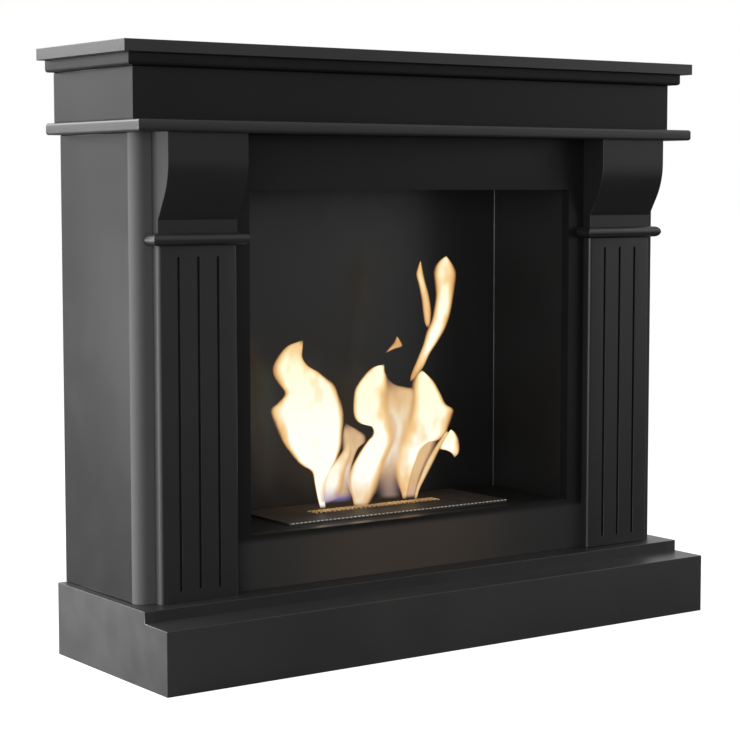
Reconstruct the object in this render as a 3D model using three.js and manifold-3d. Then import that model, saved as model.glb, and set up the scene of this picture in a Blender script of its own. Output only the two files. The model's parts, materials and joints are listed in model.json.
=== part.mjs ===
// A free-standing bioethanol fireplace: a classical mantel surround glued up from painted board,
// round a sheet-steel firebox with a lift-out burner let into its floor.
//
// Millimetres, +Z up. The origin is on the floor, under the middle of the whole object. +X is the
// right-hand side seen from the front, and the front faces -Y. A "reach" is a distance forward
// from the back plane, so each board is placed as it is cut: from the wall outwards.

import * as THREE from "three";
import { mergeVertices } from "three/addons/utils/BufferGeometryUtils.js";
import Module from "manifold-3d";

const wasm = await Module();
wasm.setup();

// ---------------------------------------------------------------------------------------------
// Sizes
// ---------------------------------------------------------------------------------------------

// A size in millimetres, taken to the nearest 1/256. Sums of sizes are then exact, so two faces
// that meet share a coordinate to the last digit.
const mm = (size) => Math.round(size * 256) / 256;

// Stock
const BOARD = mm(16); // every board of the surround
const BACK_SHEET = mm(3); // thin fibreboard back
const BATTEN = mm(20); // square softwood batten in each corner of the body
const FIREBOX_SHEET = mm(2);
const BURNER_SHEET = mm(1.5);
const GAP = mm(0.3); // round a screw in its hole, and under its head
const RUNNING_GAP = mm(0.5); // round a sliding sheet

// Body: the upright box that carries everything
const BODY_WIDTH = mm(930);
const BODY_DEPTH = mm(210);
const BODY_HEIGHT = mm(629);
const BODY_CORNER_RADIUS = BOARD - mm(0.5); // nearly the whole thickness of the front board
const BACK_INSET = mm(4); // the thin back sits this far inside the back plane

// Plinth: a low step with a ledge on it
const PLINTH_HEIGHT = mm(87);
const PLINTH_OVERHANG = mm(13); // past each side of the body
const LEDGE_OVERHANG = mm(25); // past the front of the pilasters
const STEP_TREAD = mm(59); // how far the step stands out past the ledge

// Pilasters, capitals and corbels
const PILASTER_WIDTH = mm(123);
const PILASTER_INSET = mm(26.5); // from the body's side to the pilaster's outer edge
const PILASTER_EDGE_RADIUS = mm(5);
const GROOVE_COUNT = 3;
const GROOVE_PITCH = mm(30.5);
const GROOVE_WIDTH = mm(4);
const GROOVE_DEPTH = mm(4);
const GROOVE_MARGIN = mm(15); // from each end of the pilaster
const CAPITAL_OVERHANG = mm(13);
const CORBEL_HEIGHT = mm(133);
const CORBEL_PROJECTION = mm(45); // from the front panel
const CORBEL_NECK = mm(18); // the upright band over the capital
const CORBEL_SLOPE = 30; // degrees from upright, where the underside meets the neck
const CORBEL_RADIUS = mm(104);

// Rail, frieze and shelf
const RAIL_OVERHANG = mm(39); // past the front of the frieze
const RAIL_SIDE_OVERHANG = mm(13);
const RAIL_EDGE_RADIUS = mm(3.5);
const FRIEZE_HEIGHT = mm(70);
const FRIEZE_OVERHANG = mm(9); // past each side of the body
const SHELF_STEP = mm(13.5); // each shelf board past the one under it, in front
const SHELF_SIDE_STEP = mm(13);
const UNDER_SHELF_RADIUS = mm(4);

// Fire opening and firebox
const SILL_HEIGHT = mm(77);
const LINTEL_HEIGHT = mm(76);
const JAMB_WIDTH = mm(29); // from a pilaster's inner edge to the opening
const FIREBOX_BACK_REACH = mm(29); // inner face of the firebox's back wall
const FIREBOX_FLANGE = mm(18);
const SUPPORT_INSET = mm(11); // from the firebox's back wall, and from the front panel

// Burner
const BURNER_LENGTH = mm(396);
const BURNER_BACK_GAP = mm(3); // between the deck and the firebox's back wall
const DECK_HEIGHT = mm(3); // with its turned-down rim
const DECK_END_LIP = mm(8); // past the tank
const DECK_SIDE_LIP = mm(13);
const TANK_DEPTH = mm(60);
const TANK_CLEARANCE = mm(3); // round the tank in the firebox floor
const WOOL_CLEARANCE = mm(1.5);
const WOOL_HEIGHT = mm(52); // packed to just under the guides

// Flame slot, its mesh and its shutter
const SLOT_LENGTH = mm(236);
const SLOT_WIDTH = mm(28);
const MESH_SHEET = mm(1.2);
const MESH_MARGIN = mm(4); // welded on under the deck round the slot
const MESH_PITCH = mm(12); // along the slot
const MESH_ROW = mm(4.5); // from one staggered row to the next
const MESH_STRAND = mm(1.4);
const SHUTTER_COVER = mm(2); // past each long edge of the slot when it is shut
const SHUTTER_PARK = mm(4); // behind the slot when it is open
const SHUTTER_SPARE = mm(5.5); // from the open shutter to the tank's back wall
const SHUTTER_END = mm(8); // past the slot's left end
const SHUTTER_DROP = mm(0.8); // under the mesh
const ARM_START = mm(3); // from the slot's right end to the arm
const ARM_WIDTH = mm(13);
const HOOK_WIDTH = mm(5);
const HOOK_LENGTH = mm(10);
const HOOK_INSET = mm(3); // from the arm's left edge
const HOOK_REACH = mm(5); // back end of the hook hole, ahead of the middle of the slot
const HOOK_TIP = mm(2); // arm left in front of the hook hole
const GUIDE_END_GAP = mm(3.5); // to the tank's front and back walls
const GUIDE_FOOT = mm(4.5);

// Screws
const SHANK_RADIUS = mm(1.9);
const HEAD_RADIUS = mm(4);
const HEAD_HEIGHT = mm(2.2);
const SCREW_LENGTH = mm(14);
const SCREW_SIDES = 12;
const SCREW_INSET = mm(60); // from the end of the edge that it holds
const HOLE_SPARE = mm(1); // past the tip of a screw

// ---------------------------------------------------------------------------------------------
// Levels and planes that follow from the sizes
// ---------------------------------------------------------------------------------------------

const LEDGE_TOP = PLINTH_HEIGHT + BOARD;
const BODY_TOP = LEDGE_TOP + BODY_HEIGHT;
const RAIL_TOP = BODY_TOP + BOARD;
const FRIEZE_TOP = RAIL_TOP + FRIEZE_HEIGHT;
const UNDER_SHELF_TOP = FRIEZE_TOP + BOARD;

const PANEL_BACK = BODY_DEPTH - BOARD; // back of the front panel
const PILASTER_FRONT = BODY_DEPTH + BOARD;
const LEDGE_FRONT = PILASTER_FRONT + LEDGE_OVERHANG;
const PLINTH_FRONT = LEDGE_FRONT + STEP_TREAD;

const BODY_HALF = BODY_WIDTH / 2;
const BODY_INSIDE = BODY_HALF - BOARD;
const PLINTH_HALF = BODY_HALF + PLINTH_OVERHANG;
const FRIEZE_HALF = BODY_HALF + FRIEZE_OVERHANG;
const UNDER_SHELF_HALF = FRIEZE_HALF + SHELF_SIDE_STEP;
const UNDER_SHELF_FRONT = PILASTER_FRONT + SHELF_STEP;

const PILASTER_CENTRE = BODY_HALF - PILASTER_INSET - PILASTER_WIDTH / 2;
const PILASTER_HEIGHT = BODY_HEIGHT - CORBEL_HEIGHT - BOARD;

const OPENING_HALF = PILASTER_CENTRE - PILASTER_WIDTH / 2 - JAMB_WIDTH;
const OPENING_BOTTOM = LEDGE_TOP + SILL_HEIGHT;
const OPENING_HEIGHT = BODY_HEIGHT - SILL_HEIGHT - LINTEL_HEIGHT;

const DECK_UNDERSIDE = DECK_HEIGHT - BURNER_SHEET;
const TANK_HALF_LENGTH = BURNER_LENGTH / 2 - DECK_END_LIP;
const MESH_UNDERSIDE = DECK_UNDERSIDE - MESH_SHEET;

const SHUTTER_DEPTH = SLOT_WIDTH + 2 * SHUTTER_COVER;
const SHUTTER_FRONT = -SLOT_WIDTH / 2 - SHUTTER_PARK; // of the plate, when open
const TANK_INNER_DEPTH = SHUTTER_DEPTH - SHUTTER_FRONT + SHUTTER_SPARE; // from the slot's middle
const TANK_HALF_DEPTH = TANK_INNER_DEPTH + BURNER_SHEET;
const DECK_HALF_DEPTH = TANK_HALF_DEPTH + DECK_SIDE_LIP;
const BURNER_REACH = FIREBOX_BACK_REACH + BURNER_BACK_GAP + DECK_HALF_DEPTH;
const SHUTTER_TRAVEL = SLOT_WIDTH + SHUTTER_COVER + SHUTTER_PARK;
const SHUTTER_TOP = MESH_UNDERSIDE - SHUTTER_DROP;
const SHUTTER_LEFT = -SLOT_LENGTH / 2 - SHUTTER_END;
const ARM_LEFT = SLOT_LENGTH / 2 + ARM_START;
const SHUTTER_RIGHT = ARM_LEFT + ARM_WIDTH;
const HOOK_LEFT = ARM_LEFT + HOOK_INSET;
const HOOK_FRONT = HOOK_REACH + HOOK_LENGTH; // at rest

const HOLE_RADIUS = (SHANK_RADIUS + GAP) / Math.cos(Math.PI / SCREW_SIDES);
const LEFT = -1;
const RIGHT = 1;
const SIDES = [
  ["left", LEFT],
  ["right", RIGHT],
];

// ---------------------------------------------------------------------------------------------
// Materials
// ---------------------------------------------------------------------------------------------

const material = (color, roughness, metalness) =>
  new THREE.MeshStandardMaterial({ color, roughness, metalness });

const paintedBoard = material(0x1d1d1e, 0.45, 0);
const rawBatten = material(0xc9a878, 0.8, 0);
const backBoard = material(0x5a4534, 0.75, 0);
const blackSteel = material(0x0d0d0e, 0.25, 0.4);
const brightSteel = material(0xb0aea8, 0.35, 1);
const whiteWool = material(0xe8e4da, 0.95, 0);
const zincScrew = material(0x8d8d90, 0.4, 1);

// ---------------------------------------------------------------------------------------------
// Shapes
// ---------------------------------------------------------------------------------------------

// Every point lies on a fine grid, which holds all sums and halves of the sizes.
const onGrid = (value) => Math.round(value * 1024) / 1024;

// A box from its faces: x, reach and height each as [low, high].
function boxBetween(xs, reaches, heights) {
  const [left, right, back, front, bottom, top] = [...xs, ...reaches, ...heights].map(onGrid);
  const geometry = new THREE.BoxGeometry(right - left, front - back, top - bottom);
  return geometry.translate((left + right) / 2, -(back + front) / 2, (bottom + top) / 2);
}

// Points on an arc, from one angle to another in degrees.
function arc(centreU, centreV, radius, from, to, steps = 6) {
  return Array.from({ length: steps + 1 }, (_, i) => {
    const angle = THREE.MathUtils.degToRad(from + ((to - from) * i) / steps);
    return [centreU + radius * Math.cos(angle), centreV + radius * Math.sin(angle)];
  });
}

// A closed outline on the grid, with points that fall on each other taken once.
function outline(points) {
  const placed = points.map(([u, v]) => new THREE.Vector2(onGrid(u), onGrid(v)));
  return placed.filter((p, i) => !p.equals(placed[(i + 1) % placed.length]));
}

function extrude(points, depth) {
  const shape = new THREE.Shape(outline(points));
  return new THREE.ExtrudeGeometry(shape, { depth: onGrid(depth), bevelEnabled: false });
}

const AXIS_X = new THREE.Vector3(1, 0, 0);
const AXIS_Y = new THREE.Vector3(0, 1, 0);
const AXIS_Z = new THREE.Vector3(0, 0, 1);
const FORWARD = new THREE.Vector3(0, -1, 0);
const TURN_ACROSS = new THREE.Matrix4().makeBasis(AXIS_Y, AXIS_Z, AXIS_X);
const TURN_FORWARD = new THREE.Matrix4().makeBasis(AXIS_X, AXIS_Z, FORWARD);

// An outline of [reach, height] points, run along X.
function runAcross(points, from, to) {
  const flipped = points.map(([reach, height]) => [-reach, height]);
  return extrude(flipped, to - from).applyMatrix4(TURN_ACROSS).translate(onGrid(from), 0, 0);
}

// An outline of [x, height] points, run forward from one reach to another.
function runForward(points, from, to) {
  return extrude(points, to - from).applyMatrix4(TURN_FORWARD).translate(0, -onGrid(from), 0);
}

// An outline of [x, reach] points, run upwards.
function runUp(points, from, to) {
  const flipped = points.map(([x, reach]) => [x, -reach]);
  return extrude(flipped, to - from).translate(0, 0, onGrid(from));
}

function solidOf(geometry) {
  const bare = geometry.clone();
  bare.deleteAttribute("normal");
  bare.deleteAttribute("uv");
  const merged = mergeVertices(bare);
  const vertProperties = new Float32Array(merged.attributes.position.array);
  const triVerts = new Uint32Array(merged.index.array);
  return new wasm.Manifold(new wasm.Mesh({ numProp: 3, vertProperties, triVerts }));
}

function geometryOf(solid) {
  const { vertProperties, triVerts } = solid.getMesh();
  const geometry = new THREE.BufferGeometry();
  geometry.setAttribute("position", new THREE.BufferAttribute(vertProperties, 3));
  geometry.setIndex(new THREE.BufferAttribute(triVerts, 1));
  const flat = geometry.toNonIndexed();
  flat.computeVertexNormals();
  return flat;
}

function cut(geometry, cutters) {
  const solid = cutters.reduce((rest, cutter) => rest.subtract(solidOf(cutter)), solidOf(geometry));
  return geometryOf(solid);
}

// A board with its front and end edges rounded over, and square at the back. Its origin is the
// middle of its back edge, at its underside. The two sections meet in a mitre at each corner.
function mouldedBoard(halfWidth, depth, thickness, topRadius, bottomRadius) {
  const steps = 5;
  const frontEdge = (end) => [
    ...arc(end - topRadius, thickness - topRadius, topRadius, 90, 0, steps),
    ...arc(end - bottomRadius, bottomRadius, bottomRadius, 0, -90, steps),
  ];
  const mirrored = frontEdge(halfWidth).map(([x, height]) => [-x, height]);
  const fromTheSide = [[0, 0], [0, thickness], ...frontEdge(depth)];
  const fromTheFront = [...frontEdge(halfWidth), ...mirrored.reverse()];
  const across = solidOf(runAcross(fromTheSide, -halfWidth, halfWidth));
  const forward = solidOf(runForward(fromTheFront, 0, depth));
  return geometryOf(across.intersect(forward));
}

// A round hole for a screw that points forward.
function screwHole(x, height, fromReach, toReach) {
  const length = toReach - fromReach;
  const hole = new THREE.CylinderGeometry(HOLE_RADIUS, HOLE_RADIUS, length, SCREW_SIDES);
  return hole.translate(x, -(fromReach + toReach) / 2, height);
}

// ---------------------------------------------------------------------------------------------
// Scene
// ---------------------------------------------------------------------------------------------

function add(parent, name, geometry, finish, position = [0, 0, 0]) {
  const mesh = new THREE.Mesh(geometry, finish);
  mesh.name = name;
  mesh.position.set(...position.map(onGrid));
  parent.add(mesh);
  return mesh;
}

function group(parent, position = [0, 0, 0]) {
  const made = new THREE.Group();
  made.position.set(...position.map(onGrid));
  if (parent) parent.add(made);
  return made;
}

// A pan-head screw that points forward, seated on a face at the given reach.
function addScrew(parent, name, x, seatReach, height) {
  const halfPoint = SHANK_RADIUS / 2;
  const profile = [
    [0, -SCREW_LENGTH],
    [halfPoint, -SCREW_LENGTH],
    [SHANK_RADIUS, -SCREW_LENGTH + SHANK_RADIUS],
    [SHANK_RADIUS, 0],
    [HEAD_RADIUS, 0],
    [HEAD_RADIUS, HEAD_HEIGHT / 3],
    [HEAD_RADIUS * 0.7, HEAD_HEIGHT],
    [0, HEAD_HEIGHT],
  ].map(([radius, along]) => new THREE.Vector2(radius, along));
  const screw = new THREE.LatheGeometry(profile, SCREW_SIDES);
  add(parent, name, screw, zincScrew, [x, -seatReach + GAP, height]);
}

function buildPlinth(parent) {
  const inner = PLINTH_HALF - BOARD;
  const frontBack = PLINTH_FRONT - BOARD;
  const sideOutline = [
    [0, 0],
    [frontBack, 0],
    [frontBack, PLINTH_HEIGHT],
    [LEDGE_FRONT, PLINTH_HEIGHT],
    [LEDGE_FRONT, LEDGE_TOP],
    [0, LEDGE_TOP],
  ];
  for (const [side, sign] of SIDES) {
    const outer = sign * PLINTH_HALF;
    const low = Math.min(outer, sign * inner);
    add(parent, `plinth_side_${side}`, runAcross(sideOutline, low, low + BOARD), paintedBoard);
  }
  const front = boxBetween([-PLINTH_HALF, PLINTH_HALF], [frontBack, PLINTH_FRONT], [0, PLINTH_HEIGHT]);
  add(parent, "plinth_front", front, paintedBoard);
  const treadHeights = [PLINTH_HEIGHT - BOARD, PLINTH_HEIGHT];
  const tread = boxBetween([-inner, inner], [LEDGE_FRONT - BOARD, frontBack], treadHeights);
  add(parent, "plinth_tread", tread, paintedBoard);
  const ledge = boxBetween([-inner, inner], [0, LEDGE_FRONT], [PLINTH_HEIGHT, LEDGE_TOP]);
  add(parent, "plinth_ledge", ledge, paintedBoard);
  const backRail = boxBetween([-inner, inner], [0, BOARD], [0, PLINTH_HEIGHT]);
  add(parent, "plinth_back_rail", backRail, paintedBoard);
}

// Where the firebox is screwed to the back of the front panel: [x, height above the opening's sill].
function fireboxScrewPlaces() {
  const sideX = OPENING_HALF + FIREBOX_SHEET + FIREBOX_FLANGE / 2;
  const topHeight = OPENING_HEIGHT + FIREBOX_SHEET + FIREBOX_FLANGE / 2;
  const heights = [SCREW_INSET, OPENING_HEIGHT - SCREW_INSET];
  const onSides = [-sideX, sideX].flatMap((x) => heights.map((height) => [x, height]));
  const topX = OPENING_HALF - SCREW_INSET;
  return [...onSides, [-topX, topHeight], [topX, topHeight]];
}

function frontPanel() {
  const radius = BODY_CORNER_RADIUS;
  const corner = arc(BODY_HALF - radius, BODY_DEPTH - radius, radius, 0, 90);
  const mirrored = corner.map(([x, reach]) => [-x, reach]);
  const plan = [[BODY_HALF, PANEL_BACK], ...corner, ...mirrored.reverse(), [-BODY_HALF, PANEL_BACK]];
  const blank = runUp(plan, LEDGE_TOP, BODY_TOP);
  const openingHeights = [OPENING_BOTTOM, OPENING_BOTTOM + OPENING_HEIGHT];
  const through = [PANEL_BACK - BOARD, BODY_DEPTH + BOARD];
  const opening = boxBetween([-OPENING_HALF, OPENING_HALF], through, openingHeights);
  const holeEnd = PANEL_BACK - FIREBOX_SHEET + SCREW_LENGTH + HOLE_SPARE - GAP;
  const holes = fireboxScrewPlaces().map(([x, height]) =>
    screwHole(x, OPENING_BOTTOM + height, PANEL_BACK - HOLE_SPARE, holeEnd),
  );
  return cut(blank, [opening, ...holes]);
}

function buildBody(parent) {
  add(parent, "front_panel", frontPanel(), paintedBoard);
  const heights = [LEDGE_TOP, BODY_TOP];
  const backSheet = [BACK_INSET, BACK_INSET + BACK_SHEET];
  const screwHeights = [SCREW_INSET, BODY_HEIGHT / 2, BODY_HEIGHT - SCREW_INSET];
  const screwX = BODY_INSIDE - BATTEN / 2;
  const holeEnd = BACK_INSET + SCREW_LENGTH + HOLE_SPARE;
  const holesFor = (x) =>
    screwHeights.map((height) => screwHole(x, LEDGE_TOP + height, -HOLE_SPARE, holeEnd));

  for (const [side, sign] of SIDES) {
    const across = [BODY_INSIDE, BODY_HALF].map((x) => sign * x);
    const panel = boxBetween(across.sort((a, b) => a - b), [0, PANEL_BACK], heights);
    add(parent, `side_panel_${side}`, panel, paintedBoard);

    const battenAcross = [BODY_INSIDE - BATTEN, BODY_INSIDE].map((x) => sign * x).sort((a, b) => a - b);
    const front = boxBetween(battenAcross, [PANEL_BACK - BATTEN, PANEL_BACK], heights);
    add(parent, `corner_batten_front_${side}`, front, rawBatten);
    const back = boxBetween(battenAcross, [backSheet[1], backSheet[1] + BATTEN], heights);
    add(parent, `corner_batten_back_${side}`, cut(back, holesFor(sign * screwX)), rawBatten);
    screwHeights.forEach((height, i) => {
      addScrew(parent, `back_screw_${side}_${i + 1}`, sign * screwX, BACK_INSET, LEDGE_TOP + height);
    });
  }
  const sheet = boxBetween([-BODY_INSIDE, BODY_INSIDE], backSheet, heights);
  add(parent, "back_panel", cut(sheet, [...holesFor(-screwX), ...holesFor(screwX)]), backBoard);
}

function groovedPilaster() {
  const half = PILASTER_WIDTH / 2;
  const radius = PILASTER_EDGE_RADIUS;
  const edge = arc(half - radius, BOARD - radius, radius, 0, 90);
  const mirrored = edge.map(([x, reach]) => [-x, reach]);
  const blank = runUp([[half, 0], ...edge, ...mirrored.reverse(), [-half, 0]], 0, PILASTER_HEIGHT);
  const end = GROOVE_WIDTH / 2;
  const low = GROOVE_MARGIN + end;
  const high = PILASTER_HEIGHT - GROOVE_MARGIN - end;
  const middle = (GROOVE_COUNT - 1) / 2;
  const grooves = Array.from({ length: GROOVE_COUNT }, (_, i) => {
    const x = (i - middle) * GROOVE_PITCH;
    const slot = [...arc(x, high, end, 0, 180), ...arc(x, low, end, 180, 360)];
    return runForward(slot, BOARD - GROOVE_DEPTH, BOARD + GROOVE_DEPTH);
  });
  return cut(blank, grooves);
}

// The corbel's side: an upright neck, a straight slope, and an arc that ends upright under the rail.
function corbel() {
  const slope = THREE.MathUtils.degToRad(CORBEL_SLOPE);
  const slopeReach = CORBEL_PROJECTION - CORBEL_RADIUS * (1 - Math.cos(slope));
  const slopeTop = CORBEL_NECK + (slopeReach - BOARD) / Math.tan(slope);
  const arcTop = slopeTop + CORBEL_RADIUS * Math.sin(slope);
  const belly = arc(CORBEL_PROJECTION - CORBEL_RADIUS, arcTop, CORBEL_RADIUS, -CORBEL_SLOPE, 0, 10);
  const side = [
    [0, 0],
    [BOARD, 0],
    [BOARD, CORBEL_NECK],
    ...belly,
    [CORBEL_PROJECTION, CORBEL_HEIGHT],
    [0, CORBEL_HEIGHT],
  ];
  return runAcross(side, -PILASTER_WIDTH / 2, PILASTER_WIDTH / 2);
}

function buildColumns(parent) {
  const capitalHeight = LEDGE_TOP + PILASTER_HEIGHT;
  const capitalHalf = PILASTER_WIDTH / 2 + CAPITAL_OVERHANG;
  for (const [side, sign] of SIDES) {
    const column = group(parent, [sign * PILASTER_CENTRE, -BODY_DEPTH, 0]);
    add(column, `pilaster_${side}`, groovedPilaster(), paintedBoard, [0, 0, LEDGE_TOP]);
    const capital = mouldedBoard(capitalHalf, BOARD + CAPITAL_OVERHANG, BOARD, BOARD / 2, BOARD / 2);
    add(column, `capital_${side}`, capital, paintedBoard, [0, 0, capitalHeight]);
    add(column, `corbel_${side}`, corbel(), paintedBoard, [0, 0, capitalHeight + BOARD]);
  }
}

function buildMantel(parent) {
  const railHalf = FRIEZE_HALF + RAIL_SIDE_OVERHANG;
  const railFront = PILASTER_FRONT + RAIL_OVERHANG;
  const rail = mouldedBoard(railHalf, railFront, BOARD, RAIL_EDGE_RADIUS, RAIL_EDGE_RADIUS);
  add(parent, "mantel_rail", rail, paintedBoard, [0, 0, BODY_TOP]);

  const heights = [RAIL_TOP, FRIEZE_TOP];
  const front = boxBetween([-FRIEZE_HALF, FRIEZE_HALF], [BODY_DEPTH, PILASTER_FRONT], heights);
  add(parent, "frieze_front", front, paintedBoard);
  for (const [side, sign] of SIDES) {
    const across = [FRIEZE_HALF - BOARD, FRIEZE_HALF].map((x) => sign * x).sort((a, b) => a - b);
    add(parent, `frieze_end_${side}`, boxBetween(across, [0, BODY_DEPTH], heights), paintedBoard);
  }
  const insideHalf = FRIEZE_HALF - BOARD;
  const back = boxBetween([-insideHalf, insideHalf], [0, BOARD], heights);
  add(parent, "frieze_back_rail", back, paintedBoard);

  const underShelf = mouldedBoard(UNDER_SHELF_HALF, UNDER_SHELF_FRONT, BOARD, 0, UNDER_SHELF_RADIUS);
  add(parent, "under_shelf", underShelf, paintedBoard, [0, 0, FRIEZE_TOP]);
  const shelfHalf = UNDER_SHELF_HALF + SHELF_SIDE_STEP;
  const shelfReach = [0, UNDER_SHELF_FRONT + SHELF_STEP];
  const shelfHeights = [UNDER_SHELF_TOP, UNDER_SHELF_TOP + BOARD];
  add(parent, "mantel_shelf", boxBetween([-shelfHalf, shelfHalf], shelfReach, shelfHeights), paintedBoard);
}

// The firebox, with heights from the top of its floor.
function buildFirebox(parent) {
  const firebox = group(parent, [0, 0, OPENING_BOTTOM]);
  const outerHalf = OPENING_HALF + FIREBOX_SHEET;
  const backReach = FIREBOX_BACK_REACH;
  const flangeBack = PANEL_BACK - FIREBOX_SHEET;
  const flangeHeight = FIREBOX_SHEET + FIREBOX_FLANGE;
  const holes = fireboxScrewPlaces().map(([x, height]) =>
    screwHole(x, height, flangeBack - HOLE_SPARE, PANEL_BACK + HOLE_SPARE),
  );

  const backHeights = [-FIREBOX_SHEET, OPENING_HEIGHT + FIREBOX_SHEET];
  const back = boxBetween([-outerHalf, outerHalf], [backReach - FIREBOX_SHEET, backReach], backHeights);
  add(firebox, "firebox_back", back, blackSteel);

  for (const [side, sign] of SIDES) {
    const plan = [
      [OPENING_HALF, backReach],
      [OPENING_HALF, PANEL_BACK],
      [outerHalf + FIREBOX_FLANGE, PANEL_BACK],
      [outerHalf + FIREBOX_FLANGE, flangeBack],
      [outerHalf, flangeBack],
      [outerHalf, backReach],
    ].map(([x, reach]) => [sign * x, reach]);
    const wall = runUp(plan, -FIREBOX_SHEET, OPENING_HEIGHT);
    add(firebox, `firebox_side_${side}`, cut(wall, holes), blackSteel);
  }

  const roofSection = [
    [backReach, 0],
    [PANEL_BACK, 0],
    [PANEL_BACK, flangeHeight],
    [flangeBack, flangeHeight],
    [flangeBack, FIREBOX_SHEET],
    [backReach, FIREBOX_SHEET],
  ];
  const roof = runAcross(roofSection, -outerHalf, outerHalf).translate(0, 0, onGrid(OPENING_HEIGHT));
  add(firebox, "firebox_roof", cut(roof, holes), blackSteel);

  const floorSection = roofSection.map(([reach, height]) => [reach, -height]);
  const floor = runAcross(floorSection, -OPENING_HALF, OPENING_HALF);
  const cutoutHalf = TANK_HALF_LENGTH + TANK_CLEARANCE;
  const cutoutDepth = TANK_HALF_DEPTH + TANK_CLEARANCE;
  const cutoutReach = [BURNER_REACH - cutoutDepth, BURNER_REACH + cutoutDepth];
  const cutout = boxBetween([-cutoutHalf, cutoutHalf], cutoutReach, [-2 * FIREBOX_SHEET, FIREBOX_SHEET]);
  add(firebox, "firebox_floor", cut(floor, [cutout]), blackSteel);

  const supportReach = [backReach + SUPPORT_INSET, PANEL_BACK - SUPPORT_INSET];
  for (const [side, sign] of SIDES) {
    const across = [OPENING_HALF - BOARD, OPENING_HALF].map((x) => sign * x).sort((a, b) => a - b);
    const support = boxBetween(across, supportReach, [-SILL_HEIGHT, -FIREBOX_SHEET]);
    add(firebox, `firebox_support_${side}`, support, paintedBoard);
  }
  fireboxScrewPlaces().forEach(([x, height], i) => {
    addScrew(firebox, `firebox_screw_${i + 1}`, x, flangeBack, height);
  });
}

// The deck: a shallow lid with a turned-down rim, the flame slot, and a slot for the hook.
function deck() {
  const half = BURNER_LENGTH / 2;
  const depth = DECK_HALF_DEPTH;
  const blank = boxBetween([-half, half], [-depth, depth], [0, DECK_HEIGHT]);
  const insideHalf = half - BURNER_SHEET;
  const insideDepth = depth - BURNER_SHEET;
  const under = boxBetween([-insideHalf, insideHalf], [-insideDepth, insideDepth], [-1, DECK_UNDERSIDE]);
  const through = [0, 2 * DECK_HEIGHT];
  const slotReach = [-SLOT_WIDTH / 2, SLOT_WIDTH / 2];
  const slot = boxBetween([-SLOT_LENGTH / 2, SLOT_LENGTH / 2], slotReach, through);
  const hookReach = [HOOK_REACH, HOOK_FRONT + SHUTTER_TRAVEL];
  const hookSlot = boxBetween([HOOK_LEFT, HOOK_LEFT + HOOK_WIDTH], hookReach, through);
  return cut(blank, [under, slot, hookSlot]);
}

// Expanded metal under the slot: staggered rows of diamonds with an even strand between them.
function mesh() {
  const half = SLOT_LENGTH / 2 + MESH_MARGIN;
  const depth = SLOT_WIDTH / 2 + MESH_MARGIN;
  const plate = new THREE.Shape(outline([[-half, -depth], [half, -depth], [half, depth], [-half, depth]]));
  const slant = Math.hypot(MESH_PITCH / 2, MESH_ROW);
  const shrink = 1 - (MESH_STRAND * slant) / (MESH_PITCH * MESH_ROW);
  const longHalf = (MESH_PITCH / 2) * shrink;
  const shortHalf = MESH_ROW * shrink;
  const rows = Math.floor((SLOT_WIDTH / 2 - shortHalf) / MESH_ROW);
  for (let row = -rows; row <= rows; row += 1) {
    const offset = row % 2 === 0 ? 0 : MESH_PITCH / 2;
    const count = Math.floor((SLOT_LENGTH / 2 - longHalf - offset) / MESH_PITCH);
    for (let column = offset ? -count - 1 : -count; column <= count; column += 1) {
      const x = column * MESH_PITCH + offset;
      const y = row * MESH_ROW;
      const diamond = [[x - longHalf, y], [x, y - shortHalf], [x + longHalf, y], [x, y + shortHalf]];
      plate.holes.push(new THREE.Path(outline(diamond)));
    }
  }
  const sheet = new THREE.ExtrudeGeometry(plate, { depth: onGrid(MESH_SHEET), bevelEnabled: false });
  return sheet.translate(0, 0, onGrid(MESH_UNDERSIDE));
}

// The shutter plate, with an arm past the slot's right end that carries the hook hole.
function shutter() {
  const back = SHUTTER_FRONT - SHUTTER_DEPTH;
  const armFront = HOOK_FRONT + HOOK_TIP;
  const plan = [
    [SHUTTER_LEFT, back],
    [SHUTTER_RIGHT, back],
    [SHUTTER_RIGHT, armFront],
    [ARM_LEFT, armFront],
    [ARM_LEFT, SHUTTER_FRONT],
    [SHUTTER_LEFT, SHUTTER_FRONT],
  ];
  const plate = runUp(plan, SHUTTER_TOP - BURNER_SHEET, SHUTTER_TOP);
  const hookHeights = [SHUTTER_TOP - 2 * BURNER_SHEET, SHUTTER_TOP + BURNER_SHEET];
  const hookReach = [HOOK_REACH, HOOK_FRONT];
  const hook = boxBetween([HOOK_LEFT, HOOK_LEFT + HOOK_WIDTH], hookReach, hookHeights);
  return cut(plate, [hook]);
}

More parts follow.
